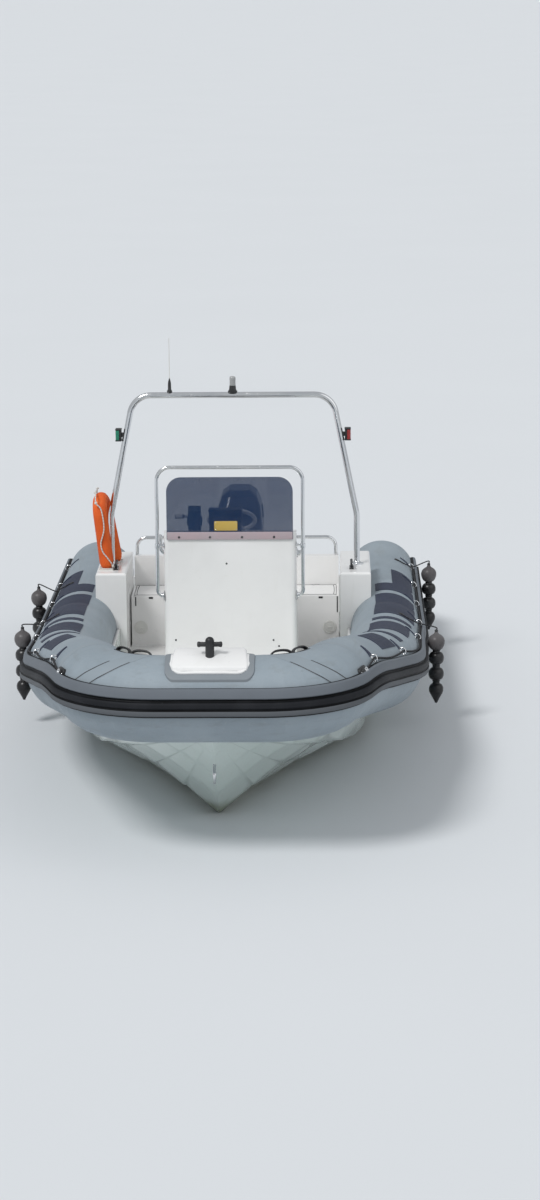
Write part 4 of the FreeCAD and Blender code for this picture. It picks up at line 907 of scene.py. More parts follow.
def axis_point(run):
    """Axis of the collar; runs below zero lie on the starboard side."""
    reach = min(abs(run), COLLAR_END)
    i = max(k for k in range(len(COLLAR_AXIS) - 1) if COLLAR_AXIS[k][0] <= reach)
    (low, start), (high, end) = COLLAR_AXIS[i:i + 2]
    if i:
        first, before = COLLAR_AXIS[i - 1]
    else:
        first, before = -high, Vector((-end.x, end.y, end.z))
    if i + 2 < len(COLLAR_AXIS):
        last, after = COLLAR_AXIS[i + 2]
    else:
        last, after = 2 * high - low, end * 2 - start
    span = high - low
    lead = (end - before) / (high - first) * span
    trail = (after - start) / (last - low) * span
    spot = cubic(start, lead, end, trail, (reach - low) / span)
    return Vector((math.copysign(1, run) * spot.x, spot.y, spot.z)) if run else spot


def collar_frame(run):
    """Axis point, outward way and upward way of the collar's section."""
    step = 0.004
    ahead = axis_point(run + step) - axis_point(run - step)
    outward = ahead.cross(UP).normalized()
    return axis_point(run), outward, outward.cross(ahead.normalized()).normalized()


def joined_tree(names):
    """A search tree over the surfaces of several nodes."""
    corners, faces = [], []
    for name in names:
        mesh = nodes[name].data
        start = len(corners)
        corners += [v.co.copy() for v in mesh.vertices]
        faces += [[start + i for i in p.vertices] for p in mesh.polygons]
    return BVHTree.FromPolygons(corners, faces)


COLLAR_SKIN = joined_tree(["tube_bow", "tube_port", "tube_starboard", "wear_patches"])


def skin(run, degrees, lift=0.0):
    """A point on the collar's surface, patches included, and the way it faces."""
    centre, outward, upward = collar_frame(run)
    turn = math.radians(degrees)
    way = outward * math.cos(turn) + upward * math.sin(turn)
    hit = COLLAR_SKIN.ray_cast(centre + way * (TUBE_RADIUS + 0.03), -way, 0.06)
    base = hit[0] if hit[0] else centre + way * TUBE_RADIUS
    return base + way * lift, way


def on_tube(run, degrees, lift=0.0):
    """A point over the round of the collar, patches left out of account."""
    centre, outward, upward = collar_frame(run)
    turn = math.radians(degrees)
    return centre + (outward * math.cos(turn) + upward * math.sin(turn)) * (TUBE_RADIUS + lift)


def skin_sheet(form, rows, thickness=0.0012, sunk=0.0015):
    """A closed thin sheet on the collar from rows of (run, degrees)."""
    top = [[form.bm.verts.new(skin(*spot)[0] + skin(*spot)[1] * thickness) for spot in row]
           for row in rows]
    low = [[form.bm.verts.new(skin(*spot)[0] - skin(*spot)[1] * sunk) for spot in row]
           for row in rows]
    height, width = len(rows), len(rows[0])
    made = []
    for r in range(height - 1):
        for c in range(width - 1):
            made.append(form.bm.faces.new([top[r][c], top[r][c + 1], top[r + 1][c + 1],
                                           top[r + 1][c]]))
            made.append(form.bm.faces.new([low[r][c], low[r + 1][c], low[r + 1][c + 1],
                                           low[r][c + 1]]))
    rim = ([(0, c) for c in range(width)] + [(r, width - 1) for r in range(1, height)]
           + [(height - 1, c) for c in range(width - 2, -1, -1)]
           + [(r, 0) for r in range(height - 2, 0, -1)])
    for (r, c), (s, d) in zip(rim, rim[1:] + rim[:1]):
        made.append(form.bm.faces.new([top[r][c], low[r][c], low[s][d], top[s][d]]))
    bmesh.ops.recalc_face_normals(form.bm, faces=made)
    return form


def runs(start, end, pitch):
    count = max(1, round(abs(end - start) / pitch))
    return [start + (end - start) * i / count for i in range(count + 1)]


# Rubbing strake: one banded rubber section all round the collar
STRAKE_TILT = 8
STRAKE_PITCH, STRAKE_BOW_PITCH = 0.11, 0.04
STRAKE_BACK = math.degrees(math.asin(STRAKE_HALF / TUBE_RADIUS))


def rubbing_strake():
    """The strake's banded section swept round the collar, with its back fitted to the tube."""
    form = Form()
    section = list(STRAKE_SECTION)
    back = (TUBE_RADIUS + 0.0008) / math.cos(math.radians(STRAKE_BACK / 5))
    for i in range(6):
        turn = math.radians(-STRAKE_BACK + 2 * STRAKE_BACK * i / 5)
        section.append((back * math.cos(turn), back * math.sin(turn)))
    bow = 0.9
    stops = (runs(-COLLAR_END, -bow, STRAKE_PITCH) + runs(-bow, bow, STRAKE_BOW_PITCH)[1:]
             + runs(bow, COLLAR_END, STRAKE_PITCH)[1:])
    path, sides = [], []
    tilt = math.radians(STRAKE_TILT)
    for stop in stops:
        centre, outward, upward = collar_frame(stop)
        path.append(centre)
        sides.append(outward * math.cos(tilt) + upward * math.sin(tilt))
    form.swept(path, section, up=sides)
    form.piece("strake_banded", "strake", replaces=["rubbing_strake"], sharp=28)


rubbing_strake()


# Bonded seams of the collar: on each side a slanted tape at the bow and a straight one behind it
BUTT_TAPE = 0.832
# Lines that edge the slanted tape: run at the start and end, angle at the start and end
SEAM_LINES = ((0.66, 0.52, 18, 66), (0.58, 0.42, 20, 68))


def seam_tapes():
    """The tapes and the thin dark lines of their edges, as sheets on the collar's skin."""
    form = Form()
    for side in (1, -1):
        rows = []
        for step in range(25):
            degrees = 26 + 92 * step / 24
            share = (degrees - 18) / 48
            lower = 0.66 - 0.14 * share
            upper = 0.58 - 0.16 * share
            rows.append([(side * (lower + (upper - lower) * c / 3), degrees) for c in range(4)])
        skin_sheet(form, rows, 0.0011)
        rows = [[(side * (BUTT_TAPE + 0.024 * c), 26 + 5 * step) for c in (-1, 0, 1)]
                for step in range(31)]
        skin_sheet(form, rows, 0.0009)
    form.piece("seam_tapes", "tape", sharp=20)
    lines = Form()
    for side in (1, -1):
        for lower, upper, start, end in SEAM_LINES:
            rows = []
            for step in range(21):
                share = step / 20
                run = lower + (upper - lower) * share
                rows.append([(side * (run + 0.0030 * c), start + (end - start) * share)
                             for c in (-1, 0, 1)])
            skin_sheet(lines, rows, 0.0017)
    lines.piece("seam_lines", "trim", sharp=20)


seam_tapes()


# Lifelines: a laid rope through its eyes, sagging between them to the strake
EYES = (0.997, 1.940, 3.200, 4.000, 4.750, 5.400, 6.062)
EYE_ANGLE = 34
SAG_ANGLE = 28.8
ROPE_LIFT = 0.013
ROPE_RADIUS = 0.006
LEAD_RUN = 0.79
LEAD_ANGLE = 27


def lifeline():
    """The rope on each side, and its lead from the block at the bow to the first eye."""
    form = Form()
    for side in (1, -1):
        path = []
        for first, last in zip(EYES, EYES[1:]):
            for i in range(12):
                t = i / 12
                angle = EYE_ANGLE - (EYE_ANGLE - SAG_ANGLE) * (4 * t * (1 - t)) ** 0.8
                path.append(on_tube(side * (first + (last - first) * t), angle, ROPE_LIFT))
        path.append(on_tube(side * EYES[-1], EYE_ANGLE, ROPE_LIFT))
        form.tube(path, ROPE_RADIUS, 8)
    form.piece("lifeline_rope", "black_rope", replaces=["lifeline"])
    lead = Form()
    for side in (1, -1):
        path = [on_tube(side * (LEAD_RUN + (EYES[0] - LEAD_RUN) * t),
                        LEAD_ANGLE + (EYE_ANGLE - LEAD_ANGLE) * t ** 1.3, ROPE_LIFT)
                for t in (k / 8 for k in range(9))]
        lead.tube(path, ROPE_RADIUS, 8)
    lead.piece("lifeline_leads", "black_rope")


lifeline()


def frame_on_skin(run, degrees, lift=0.0):
    """A frame on the collar with Z outward and X along the tube towards the stern."""
    point, way = skin(run, degrees, lift)
    ahead = (axis_point(run + 0.01) - axis_point(run - 0.01)).normalized()
    ahead = (ahead - way * ahead.dot(way)).normalized()
    turn = Matrix((ahead, way.cross(ahead), way)).transposed().to_4x4()
    return Matrix.Translation(point) @ turn


def lifeline_eyes():
    """Chrome eyes on round bases, each with a tapered rubber tab above it."""
    chrome, tabs = Form(), Form()
    for side in (1, -1):
        for eye in EYES:
            base = frame_on_skin(side * eye, EYE_ANGLE)
            lifted = Matrix.Translation(base.to_3x3() @ Vector((0, 0, 0.0004)))
            chrome.turned([(0.027, 0.0), (0.027, 0.0012), (0.0235, 0.0030), (0.017, 0.0036),
                           (0.0158, 0.0030)], lifted @ base, 24)
            arch = smooth_path([(0, -0.0215, 0.0), (0, -0.0205, 0.013), (0, -0.0135, 0.0235),
                                (0, 0, 0.0272), (0, 0.0135, 0.0235), (0, 0.0205, 0.013),
                                (0, 0.0215, 0.0)], 5)
            chrome.tube([base @ p for p in arch], 0.0042, 10)
            rows = []
            for i in range(9):
                t = i / 8
                half = 0.026 - 0.018 * t
                degrees = EYE_ANGLE + 4 + 20 * t
                rows.append([(side * (eye + half * c), degrees) for c in (-1, -0.4, 0.4, 1)])
            skin_sheet(tabs, rows, 0.0050)
    chrome.piece("lifeline_eyes", "chrome", replaces=["lifeline_fittings"], sharp=40)
    tabs.piece("lifeline_tabs", "patch", sharp=30)


lifeline_eyes()


def lead_blocks():
    """Moulded blocks at the bow where the lifelines start, each with a chrome ring."""
    blocks, rings, heads = Form(), Form(), []
    outline = rounded_outline(0.112, 0.062, 0.022, 5)
    for side in (1, -1):
        base = frame_on_skin(side * (LEAD_RUN - 0.035), 26.5, -0.006)
        blocks.plate([(x, y * (1 + 1.2 * x)) for x, y in outline], 0.016, 0.004, base, 3)
        raised = base @ Matrix.Translation((0, 0, 0.016))
        inner = rounded_outline(0.070, 0.036, 0.014, 5)
        blocks.plate(inner, 0.011, 0.005, raised, 3)
        ring = [base @ Vector((0.012 + x, y, 0.030)) for x, y in circle(0.016, 20)]
        rings.tube(ring, 0.0042, 8, closed=True)
        rings.turned([(0.0085, 0.0), (0.0085, 0.006), (0.006, 0.009), (0, 0.010)],
                     base @ Matrix.Translation((0.012, 0, 0.024)), 14)
        for x in (-0.043, 0.045):
            heads.append((base @ Vector((x, 0, 0.016)), base.to_3x3() @ UP))
    blocks.piece("lifeline_blocks", "black", sharp=35)
    rings.piece("lifeline_block_rings", "chrome", sharp=40)
    screws("lifeline_block_screws", heads, 0.006, 0.003)


lead_blocks()


# Grab handles inside the bow
HANDLE_RUNS = (0.440, 0.625)


def bow_handles():
    """Low moulded handles inside the bow: broad bows on rubber bases."""
    bows, bases = Form(), Form()
    for side in (1, -1):
        for run in HANDLE_RUNS:
            base = frame_on_skin(side * run, 116)
            outline = rounded_outline(0.150, 0.062, 0.026, 5)
            bases.plate(outline, 0.006, 0.002, base @ Matrix.Translation((0, 0, -0.003)))
            line = smooth_path([Vector((-0.060, 0, 0.001)), Vector((-0.055, 0, 0.014)),
                                Vector((-0.034, 0, 0.025)), Vector((0, 0, 0.0285)),
                                Vector((0.034, 0, 0.025)), Vector((0.055, 0, 0.014)),
                                Vector((0.060, 0, 0.001))], 6)
            across = base.to_3x3() @ Vector((0, 1, 0))
            bows.swept([base @ p for p in line],
                       [(-0.013, -0.0035), (-0.009, -0.0055), (0.009, -0.0055), (0.013, -0.0035),
                        (0.013, 0.0035), (0.009, 0.0055), (-0.009, 0.0055), (-0.013, 0.0035)],
                       up=[across] * len(line))
    bows.piece("handle_bows", "black", replaces=["grab_handles"], sharp=40)
    bases.piece("handle_bases", "dark_rubber", sharp=35)


bow_handles()


# Fenders: strings of balls on cords over the collar; side, Y, height of the top ball
FENDERS = ((1, 0.0792, 0.566), (1, 2.2968, 0.570), (-1, 0.099, 0.590), (-1, 1.4784, 0.576))
BALL = 0.0505
PITCH = 0.107
FENDER_AXIS = 0.3375
# Outlines of the balls, as radius and height in ball radii
PEAR = ((0.0, -1.00), (0.50, -0.97), (0.80, -0.72), (0.98, -0.36), (1.05, 0.0), (1.02, 0.30),
        (0.90, 0.60), (0.66, 0.84), (0.42, 1.00), (0.27, 1.12), (0.21, 1.28), (0.14, 1.36),
        (0.0, 1.38))
BEAD = ((0.0, -1.06), (0.50, -1.04), (0.52, -0.84), (0.80, -0.66), (0.98, -0.34), (1.02, 0.0),
        (0.97, 0.34), (0.78, 0.66), (0.50, 0.84), (0.46, 1.06), (0.0, 1.08))
TAIL = ((0.0, -1.95), (0.12, -1.93), (0.20, -1.84), (0.24, -1.70), (0.50, -1.22),
        (0.78, -0.72), (0.96, -0.34), (1.0, 0.0), (0.95, 0.34), (0.76, 0.66), (0.50, 0.84),
        (0.46, 1.06), (0.0, 1.08))


def fender_strings():
    tops, balls, cords, knots = Form(), Form(), Form(), Form()
    for side, y, top in FENDERS:
        run = run_at(y)
        x = side * (axis_point(run).x + FENDER_AXIS)
        for i, (form, shape, size) in enumerate(((tops, PEAR, 1.06), (balls, BEAD, 1.0),
                                                 (balls, BEAD, 1.0), (balls, TAIL, 0.96))):
            middle = Matrix.Translation((x, y, top - PITCH * i))
            line = smooth_path([Vector((r * BALL * size, 0, h * BALL * size)) for r, h in shape],
                               3)
            profile = [(max(0.0, p.x), p.z) for p in line]
            profile[0], profile[-1] = (0.0, profile[0][1]), (0.0, profile[-1][1])
            form.turned(profile, middle, 28)
        neck = Vector((x, y, top + BALL * 1.40))
        knots.turned([(0, -0.004), (0.008, -0.003), (0.0115, 0.003), (0.0115, 0.009),
                      (0.008, 0.014), (0, 0.015)], Matrix.Translation(neck), 16)
        line = [neck + UP * 0.006, neck + UP * 0.030 - Vector((side * 0.006, 0, 0))]
        for degrees, lift in ((38, 0.034), (46, 0.014), (54, 0.0055), (58, 0.0046),
                              (62, 0.0046), (66, 0.0046)):
            spot = skin(side * run, degrees, lift)[0]
            line.append(Vector((spot.x, y, spot.z)))
        cords.tube(smooth_path(line, 6), 0.0042, 8)
        base = frame_on_skin(side * run, 66)
        knots.turned([(0.017, -0.001), (0.017, 0.004), (0.012, 0.0085), (0, 0.010)], base, 20)
    # Top balls in the lighter grey: painted highlight
    tops.piece("fender_tops", "fender_highlit", replaces=["fenders"], sharp=60)
    balls.piece("fender_balls", "fender", replaces=["fenders"], sharp=60)
    cords.piece("fender_lines", "black_rope", replaces=["fender_cords"], sharp=60)
    knots.piece("fender_knots", "black", sharp=60)


def run_at(y):
    """The run of the collar's axis that lies at a Y."""
    low, high = 0.8, COLLAR_END
    for _ in range(40):
        middle = (low + high) / 2
        if axis_point(middle).y < y:
            low = middle
        else:
            high = middle
    return (low + high) / 2


fender_strings()


def hull_skin():
    """The hull's own surface with its corners shared, so that it shades smoothly."""
    form = Form()
    form.bm.from_mesh(nodes["hull_shell"].data)
    bmesh.ops.remove_doubles(form.bm, verts=form.bm.verts[:], dist=0.00002)
    form.piece("hull_skin", "hull", replaces=["hull_shell"], sharp=48)


hull_skin()


# Bow: lip of the step, and ends of the post's pin
def bow_fittings():
    """The moulded lip round the foot of the bow step."""
    step = joined_tree(["bow_step"])
    front = box_of("bow_step")[0].y
    form = Form()

    def foot(y):
        ahead = y - COLLAR_AXIS[0][1].y
        return BOW_HEIGHT + 0.010 + math.sqrt(max(0.0, TUBE_RADIUS ** 2 - ahead ** 2))

    def side_point(side, y):
        hit = step.ray_cast(Vector((side * 0.5, y, foot(y) + 0.012)), Vector((-side, 0, 0)))[0]
        return Vector((hit.x, y, foot(y)))

    ys = [front + 0.150, front + 0.110, front + 0.070, front + 0.045]
    front_z = foot(front - 0.004)
    middle = [Vector((x, front - 0.004, front_z)) for x in (-0.165, -0.08, 0, 0.08, 0.165)]
    corners = [Vector((side * 0.193, front + 0.014, foot(front + 0.014))) for side in (-1, 1)]
    path = [side_point(-1, y) for y in ys] + corners[:1] + middle + corners[1:]
    path += [side_point(1, y) for y in reversed(ys)]
    line = smooth_path(path, 6)
    sides = [Vector((ahead.y, -ahead.x, 0)).normalized() for ahead in headings(line)]
    form.swept(line, [(-0.012, -0.008), (0.012, -0.008), (0.015, -0.004), (0.015, 0.001),
                      (0.012, 0.004), (0.002, 0.006), (-0.012, 0.006)], up=sides)
    form.piece("bow_step_lip", "gelcoat", sharp=40)


bow_fittings()


def post_fittings():
    """Rounded ends on the post's cross pin."""
    low, high = box_of("samson_post")
    form = Form()
    for side in (-1, 1):
        tip = facing_frame((high.x if side > 0 else low.x, -3.075, 1.277), (side, 0, 0))
        form.turned([(0.0135, -0.016), (0.0158, -0.012), (0.0162, -0.004), (0.0120, 0.0015),
                     (0, 0.0035)], tip, 20)
    form.piece("post_caps", "black", sharp=50)


post_fittings()


# Console: foot, screws, rail sockets, dash gear
CONSOLE_FRONT = 0.420
CONSOLE_SIDE = 0.4448


def console_foot():
    """The moulded foot that flares out round the console's front and sides."""
    high = box_of("console_shell")[1]
    rear, half = high.y - 0.004, high.x
    radius, steps, sole = 0.036, 6, 0.2505
    path = [Vector((-half, rear, sole))]
    for cx, start in ((-half + radius, 180), (half - radius, 270)):
        for k in range(steps + 1):
            turn = math.radians(start + 90 * k / steps)
            path.append(Vector((cx + radius * math.cos(turn),
                                CONSOLE_FRONT + radius + radius * math.sin(turn), sole)))
    path.append(Vector((half, rear, sole)))
    dense = subdivided(path, 0.06)
    sides = [ahead.cross(UP) for ahead in headings(dense)]
    form = Form()
    form.swept(dense, [(-0.030, 0.0), (0.031, 0.0), (0.0315, 0.004), (0.0285, 0.030),
                       (0.0265, 0.040), (0.0215, 0.060), (0.0125, 0.092), (0.0060, 0.125),
                       (0.0022, 0.165), (0.0006, 0.205), (-0.0015, 0.2225), (-0.030, 0.2225)],
               up=sides)
    form.piece("console_foot", "gelcoat", sharp=50)


console_foot()


def console_face():
    """Screws of the console's front, and the sockets of its rails."""
    heads = [((x, CONSOLE_FRONT - 0.0003, z), (0, -1, 0)) for x, z in
             ((-0.372, 0.508), (0.288, 0.506), (0.325, 0.464), (-0.024, 1.034))]
    screws("console_screws", heads, 0.0068, 0.0035, "trim")
    sockets, bolts = Form(), []
    for side in (-1, 1):
        for y, z in ((0.45, 0.81), (0.86, 1.02)):
            frame_here = facing_frame((side * CONSOLE_SIDE, y, z), (side, 0, 0))
            sockets.turned([(0.034, 0), (0.034, 0.003), (0.029, 0.006), (0.019, 0.008),
                            (0.0175, 0.022), (0.0145, 0.024), (0.0131, 0.024)], frame_here, 24)
            for across, rise in circle(0.026, 3, math.radians(45)):
                bolts.append(((side * 0.4515, y + across, z + rise), (side, 0, 0)))
    sockets.piece("rail_sockets", "stainless", sharp=40)
    screws("rail_socket_screws", bolts, 0.0042, 0.0025)


console_face()


def screen_trim():
    """The strip that clamps the screen to the console, with its four dark screws."""
    strip = Form()
    strip.block((-0.421, 0.4072, 1.2005), (0.421, 0.4136, 1.2520), 0.0022, 3)
    strip.piece("screen_strip", "strip", sharp=35)
    heads = [((x, 0.4072, 1.2170), (0, -1, 0)) for x in (-0.341, -0.133, 0.082, 0.297)]
    screws("screen_strip_screws", heads, 0.0085, 0.0040, "trim")


screen_trim()


# The dash slopes down from its top edge; places on it are given across and down the slope
DASH_TOP = Vector((0, 0.68, 1.215))
DASH_FALL = Vector((0, 0.24, -0.18)).normalized()
DASH_OUT = Vector((0, 0.18, 0.24)).normalized()
# Dials: place across, place down, radius, turn of the needle in degrees
DIALS = ((-0.155, 0.070, 0.040, 215), (0.155, 0.070, 0.040, 230), (0.265, 0.070, 0.027, 160),
         (0.265, 0.145, 0.027, 40))


def dash_frame(across, down):
    return facing_frame(DASH_TOP + DASH_FALL * down + Vector((across, 0, 0)), DASH_OUT)


def instrument_hood():
    """The hood over the instrument box: a roof and two cheeks."""
    low, high = box_of("instrument_box")
    hood = Form()
    hood.block((low.x - 0.006, low.y - 0.004, high.z - 0.010),
               (high.x + 0.006, high.y + 0.012, high.z + 0.006), 0.004, 3)
    for left, right in ((low.x - 0.005, low.x + 0.010), (high.x - 0.010, high.x + 0.005)):
        hood.block((left, high.y - 0.016, low.z + 0.045), (right, high.y + 0.012, high.z), 0.003)
    hood.piece("instrument_hood", "black", sharp=35)


def screen_plate():
    """The small blank plate on the front of the screen's foot, where the camera sees it."""
    target = Vector((-0.0315, box_of("instrument_box")[0].y, 1.2640))
    aim = (target - CAMERA_EYE).normalized()
    hit = joined_tree(["windscreen"]).ray_cast(CAMERA_EYE, aim)
    spot = facing_frame(hit[0], hit[1])
    plate = Form()
    plate.plate(rounded_outline(0.155, 0.064, 0.006, 3), 0.0022, 0.0008, spot)
    plate.piece("screen_plate", "gold", sharp=35)
    heads = [(spot @ Vector((x, y, 0.0022)), hit[1]) for x in (-0.069, 0.069)
             for y in (-0.024, 0.024)]
    screws("screen_plate_screws", heads, 0.0035, 0.002)


def display_and_dials():
    """The display in the instrument box, and the dials with their bezels and needles."""
    low, high = box_of("instrument_box")
    display, bezel, dials, needles = Form(), Form(), Form(), Form()
    at_face = facing_frame(((low.x + high.x) / 2, high.y, high.z - 0.062), (0, 1, 0))
    display.plate(rounded_outline(0.150, 0.082, 0.006, 3), 0.0035, 0.001, at_face)
    display.piece("instrument_display", "glass_black", sharp=35)
    ring = [at_face @ Vector((x, y, 0.0035)) for x, y in rounded_outline(0.160, 0.092, 0.010)]
    bezel.tube(ring, 0.0048, 8, closed=True)
    for across, down, size, turn in DIALS:
        spot = dash_frame(across, down)
        bezel.turned([(size + 0.006, 0), (size + 0.006, 0.004), (size + 0.003, 0.010),
                      (size - 0.001, 0.010), (size - 0.002, 0.006)], spot, 32)
        dials.turned([(size - 0.001, 0.0), (size - 0.001, 0.0062), (0, 0.0066)], spot, 32)
        a = math.radians(turn)
        tip = Vector((math.cos(a), math.sin(a), 0)) * size * 0.78
        side = Vector((-math.sin(a), math.cos(a), 0)) * 0.0013
        outline = [side, tip + side * 0.3, tip - side * 0.3, side * -1]
        needles.plate([(p.x, p.y) for p in outline], 0.0012, 0,
                      spot @ Matrix.Translation((0, 0, 0.0068)))
        needles.turned([(0.004, 0), (0.004, 0.0022), (0.0025, 0.0034), (0, 0.0036)],
                       spot @ Matrix.Translation((0, 0, 0.0064)), 14)
    bezel.piece("dash_bezels", "black", sharp=35)
    dials.piece("dash_dials", "dial", sharp=35)
    needles.piece("dash_needles", "white", sharp=35)


def switches_and_lock():
    """A panel of five rocker switches, and the ignition lock."""
    switches, panel, key = Form(), Form(), Form()
    spot = dash_frame(-0.145, 0.155)
    panel.plate(rounded_outline(0.145, 0.056, 0.006, 3), 0.0030, 0.001, spot)
    panel.piece("switch_panel", "black", sharp=35)
    tilt = Matrix.Rotation(math.radians(12), 4, "X")
    for k in range(5):
        place = Matrix.Translation((0.027 * (k - 2), 0, 0.003))
        switches.block((-0.0085, -0.017, -0.002), (0.0085, 0.017, 0.0065), 0.0025, 2,
                       spot @ place @ tilt)
    switches.piece("switch_rockers", "trim", sharp=40)
    key.turned([(0.015, 0), (0.015, 0.004), (0.012, 0.007), (0.0085, 0.0075), (0.008, 0.012),
                (0.0, 0.0125)], dash_frame(0.165, 0.145), 20)
    key.piece("ignition_lock", "chrome", sharp=35)


instrument_hood()
screen_plate()
display_and_dials()
switches_and_lock()


def lever_parts():
    """The engine lever: silver knob sleeve, and a pivot cap on each side of the control box."""
    low, high = box_of("engine_control")
    y = 0.755
    knob, caps = Form(), Form()
    knob.turned([(0, -0.0012), (0.0105, -0.001), (0.0150, 0.003), (0.0162, 0.010), (0.0158, 0.050),
                 (0.0125, 0.062), (0.0098, 0.066), (0.0095, 0.094)],
                facing_frame((low.x, y, 1.296), (1, 0, 0)), 24)
    knob.piece("lever_knob", "silver", sharp=40)
    for x, way in ((high.x, 1), (-0.292, -1)):
        caps.turned([(0.034, 0), (0.034, 0.005), (0.028, 0.009), (0.012, 0.010), (0.0, 0.010)],
                    facing_frame((x, y, 1.265), (way, 0, 0)), 26)
    caps.piece("lever_pivots", "black", sharp=35)


lever_parts()


WHEEL_AXIS = Vector((0, 0.6, 0.8))
WHEEL_CENTRE = Vector((0, 0.89, 1.245))
WHEEL_RADIUS = 0.158


def wheel_grip():
    """The light rim with its moulded finger grips."""
    spot = facing_frame(WHEEL_CENTRE, WHEEL_AXIS)
    rim, rows = Form(), []
    for x, y in circle(1.0, 120):
        size = 0.0133 + 0.0010 * math.cos(24 * math.atan2(y, x))
        rows.append(rim.ring_of(spot @ Vector((x * (WHEEL_RADIUS + out), y * (WHEEL_RADIUS + out),
                                               up)) for out, up in circle(size, 14)))
    faces = rim.bridge(rows + rows[:1])
    bmesh.ops.recalc_face_normals(rim.bm, faces=faces)
    rim.piece("wheel_grip", "wheel", "steering_wheel", sharp=60)


def wheel_middle():
    """Hub cap with its ring, and the plates of the three spokes."""
    spot = facing_frame(WHEEL_CENTRE, WHEEL_AXIS)
    hub, plates = Form(), Form()
    hub.turned([(0.041, -0.020), (0.041, 0.014), (0.036, 0.021), (0.022, 0.026), (0, 0.027)],
               spot, 32)
    hub.piece("wheel_hub", "black", "steering_wheel", sharp=35)
    plates.turned([(0.026, 0.0245), (0.0265, 0.0265), (0.0235, 0.0275), (0.0225, 0.0255)], spot,
                  32)
    # Each spoke's sections: distance from the axle, height over the rim's plane, half width
    sections = ((0.034, 0.011, 0.020), (0.075, 0.0085, 0.013), (0.120, 0.0065, 0.011),
                (0.150, 0.004, 0.014))
    lower = WHEEL_AXIS * -0.0035
    for turn in (90, 210, 330):
        way = Matrix.Rotation(math.radians(turn), 4, WHEEL_AXIS) @ DASH_FALL
        across = WHEEL_AXIS.cross(way)
        rows = []
        for reach, height, half in sections:
            middle = WHEEL_CENTRE + way * reach + WHEEL_AXIS * height
            rows.append(plates.ring_of([middle + across * half + lower,
                                        middle + across * half * 0.8,
                                        middle - across * half * 0.8,
                                        middle - across * half + lower]))
        faces = plates.bridge(rows)
        faces += [plates.bm.faces.new(rows[0]), plates.bm.faces.new(rows[-1])]
        bmesh.ops.recalc_face_normals(plates.bm, faces=faces)
    plates.piece("wheel_spokes", "stainless", "steering_wheel", sharp=35)


wheel_grip()
wheel_middle()


def hoop_collars():
    """Joint collars of the windscreen hoop and the grab rails."""
    form = Form()
    hoop, rail_y = 0.490, 0.450
    for side in (-1, 1):
        form.turned([(0.0131, -0.016), (0.0162, -0.015), (0.0170, -0.008), (0.0170, 0.008),
                     (0.0162, 0.015), (0.0131, 0.016)],
                    facing_frame((side * hoop, rail_y, 1.150), UP), 20)
        form.turned([(0.0120, 0.0), (0.0155, 0.001), (0.0160, 0.010), (0.0120, 0.016)],
                    facing_frame((side * hoop, rail_y + 0.012, 1.150), (0, 1, 0)), 20)
        form.tube([Vector((side * x, rail_y, 1.155)) for x in (0.4400, 0.4525, 0.4650, hoop)],
                  0.0085, 12)
        form.turned([(0.021, 0), (0.021, 0.003), (0.014, 0.006), (0.0085, 0.007)],
                    facing_frame((side * CONSOLE_SIDE, rail_y, 1.155), (side, 0, 0)), 20)
    form.piece("rail_collars", "stainless", sharp=40)


hoop_collars()


# Stern: bench, pods, frame, lights and buoy
BENCH_FRONT = 1.370
LID_TOP = 0.610
LID_MIDDLE = 0.3665


def bench_front():
    """Slots and screws of the bench's front, and its round inspection plates."""
    slots, plates, heads = Form(), Form(), []
    for x in (-0.595, 0.605):
        slots.plate(rounded_outline(0.030, 0.013, 0.004, 3), 0.0022, 0.0006,
                    facing_frame((x, BENCH_FRONT, 0.598), (0, -1, 0)))
    for x, low in ((-0.703, 0.540), (0.722, 0.490)):
        slots.block((x - 0.004, BENCH_FRONT - 0.0025, low),
                    (x + 0.004, BENCH_FRONT + 0.001, 0.606), 0.001, 1)
    slots.piece("bench_slots", "black", sharp=40)
    for side in (-1, 1):
        centre = facing_frame((side * 0.667, BENCH_FRONT - 0.006, 0.385), (0, -1, 0))
        plates.turned([(0.0475, -0.004), (0.0475, 0.0015), (0.0445, 0.0035), (0.0375, 0.0035),
                       (0.0365, 0.0010), (0.0350, 0.0010), (0.0340, 0.0030), (0.010, 0.0038),
                       (0, 0.0038)], centre, 40)
        for k in range(10):
            rib = centre @ Matrix.Rotation(math.tau * k / 10, 4, "Z")
            plates.block((0.012, -0.0013, 0.0030), (0.0325, 0.0013, 0.0052), 0.0006, 1, rib)
        plates.block((-0.014, -0.0035, 0.0035), (0.014, 0.0035, 0.0085), 0.0015, 2, centre)
        heads += [((side * x, BENCH_FRONT - 0.0002, 0.300), (0, -1, 0)) for x in (0.06, 0.675)]
    plates.piece("bench_plate_lids", "white", sharp=35)
    screws("bench_screws", heads, 0.0042, 0.0022)


